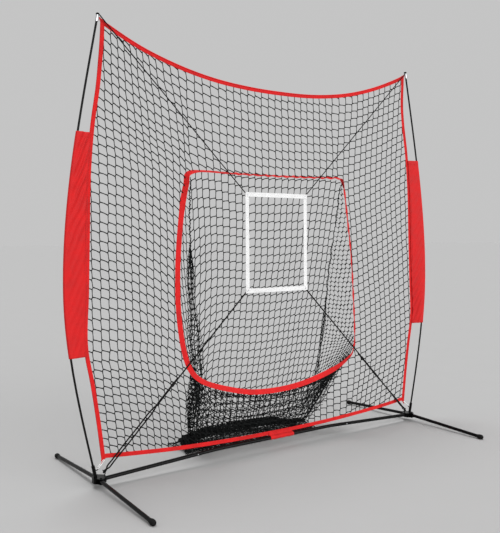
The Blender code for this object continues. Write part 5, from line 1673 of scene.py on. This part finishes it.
class OBJECT_OT_net_stage(bpy.types.Operator):
    """Sets the camera, a pale floor and soft studio light"""
    bl_idname = "practice_net.stage"
    bl_label = "Stage"

    def execute(self, context):
        sizes = context.scene.net_stage
        self.camera(context.scene, sizes)
        self.floor(sizes.floor)
        self.light(context.scene, sizes)
        context.scene.view_settings.view_transform = "Standard"
        return {"FINISHED"}

    def camera(self, scene, sizes):
        yaw, pitch, roll = (math.radians(angle) for angle in (sizes.yaw, sizes.pitch, sizes.roll))
        forward = Vector((math.sin(yaw) * math.cos(pitch), math.cos(yaw) * math.cos(pitch), math.sin(pitch)))
        right = Vector((math.cos(yaw), -math.sin(yaw), 0))
        up = right.cross(forward)
        across = right * math.cos(roll) + up * math.sin(roll)
        over = up * math.cos(roll) - right * math.sin(roll)
        lens = bpy.data.cameras.new("camera")
        lens.lens = sizes.lens
        lens.clip_start = 0.05
        camera = bpy.data.objects.new("camera", lens)
        turn = Matrix((across, over, -forward)).transposed().to_4x4()
        camera.matrix_world = Matrix.Translation(Vector(sizes.camera)) @ turn
        scene.collection.objects.link(camera)
        scene.camera = camera

    def floor(self, pale):
        bm = bmesh.new()
        bmesh.ops.create_grid(bm, x_segments=1, y_segments=1, size=FLOOR_SIZE)
        bmesh.ops.translate(bm, verts=bm.verts, vec=(0, 0, -FLOOR_GAP))
        floor = built("floor", bm)
        mat, tree, shader = shader_of("pale_floor", (pale, pale, pale), 0.85)
        shader.inputs["Specular IOR Level"].default_value = 0.0
        where = add(tree, "ShaderNodeTexCoord")
        vary_colour(tree, shader, where.outputs["Object"], 3.0, (pale, pale, pale), 0.995, 1.005)
        floor.data.materials.append(mat)

    def light(self, scene, sizes):
        world = bpy.data.worlds.new("studio")
        scene.world = world
        world.use_nodes = True
        tree = world.node_tree
        sky = tree.nodes["Background"]
        sky.inputs["Color"].default_value = (1, 1, 1, 1)
        sky.inputs["Strength"].default_value = sizes.sky
        seen = add(tree, "ShaderNodeBackground", {"Color": (1, 1, 1, 1), "Strength": sizes.backdrop})
        path = add(tree, "ShaderNodeLightPath")
        mixed = add(tree, "ShaderNodeMixShader", {0: path.outputs["Is Camera Ray"], 1: sky.outputs[0],
                                                  2: seen.outputs[0]})
        tree.links.new(mixed.outputs[0], tree.nodes["World Output"].inputs["Surface"])
        self.lamp(scene, "overhead", sizes.lamp, Vector(OVERHEAD_PLACE), sizes.lamp_spread)
        self.lamp(scene, "front", sizes.key, Vector(FRONT_PLACE), sizes.key_spread)

    def lamp(self, scene, name, power, place, spread):
        """Soft even light from one direction."""
        lamp = bpy.data.lights.new(name, "SUN")
        lamp.energy = power
        lamp.angle = spread
        lit = bpy.data.objects.new(name, lamp)
        aim = (Vector(LIT_MIDDLE) - place).to_track_quat("-Z", "Y").to_matrix().to_4x4()
        lit.matrix_world = Matrix.Translation(place) @ aim
        scene.collection.objects.link(lit)


class VIEW3D_PT_practice_net(bpy.types.Panel):
    """Sizes and steps of the practice net's dressing"""
    bl_idname = "VIEW3D_PT_practice_net"
    bl_label = "Practice Net"
    bl_space_type = "VIEW_3D"
    bl_region_type = "UI"
    bl_category = "Practice Net"

    def draw(self, context):
        scene = context.scene
        for group in (scene.net_netting, scene.net_sewing, scene.net_colours, scene.net_stage):
            box = self.layout.box()
            for name in group.bl_rna.properties.keys():
                if name not in ("rna_type", "name"):
                    box.prop(group, name)
        for step in STEPS:
            self.layout.operator(step.bl_idname)


GROUPS = (("net_netting", NettingSizes), ("net_sewing", SewingSizes), ("net_colours", Colours),
          ("net_stage", StageSizes))
STEPS = (OBJECT_OT_net_stage, OBJECT_OT_net_cords, OBJECT_OT_net_front, OBJECT_OT_net_pocket,
         OBJECT_OT_net_tapes, OBJECT_OT_net_sleeves, OBJECT_OT_net_zone, OBJECT_OT_net_finishes)


def register():
    for name, group in GROUPS:
        bpy.utils.register_class(group)
        setattr(bpy.types.Scene, name, PointerProperty(type=group))
    for step in STEPS:
        bpy.utils.register_class(step)
    bpy.utils.register_class(VIEW3D_PT_practice_net)


def unregister():
    bpy.utils.unregister_class(VIEW3D_PT_practice_net)
    for step in reversed(STEPS):
        bpy.utils.unregister_class(step)
    for name, group in reversed(GROUPS):
        delattr(bpy.types.Scene, name)
        bpy.utils.unregister_class(group)


def main():
    register()
    for step in (bpy.ops.practice_net.stage, bpy.ops.practice_net.cords, bpy.ops.practice_net.front,
                 bpy.ops.practice_net.pocket, bpy.ops.practice_net.tapes, bpy.ops.practice_net.sleeves,
                 bpy.ops.practice_net.zone, bpy.ops.practice_net.finishes):
        step()


if __name__ == "__main__":
    main()
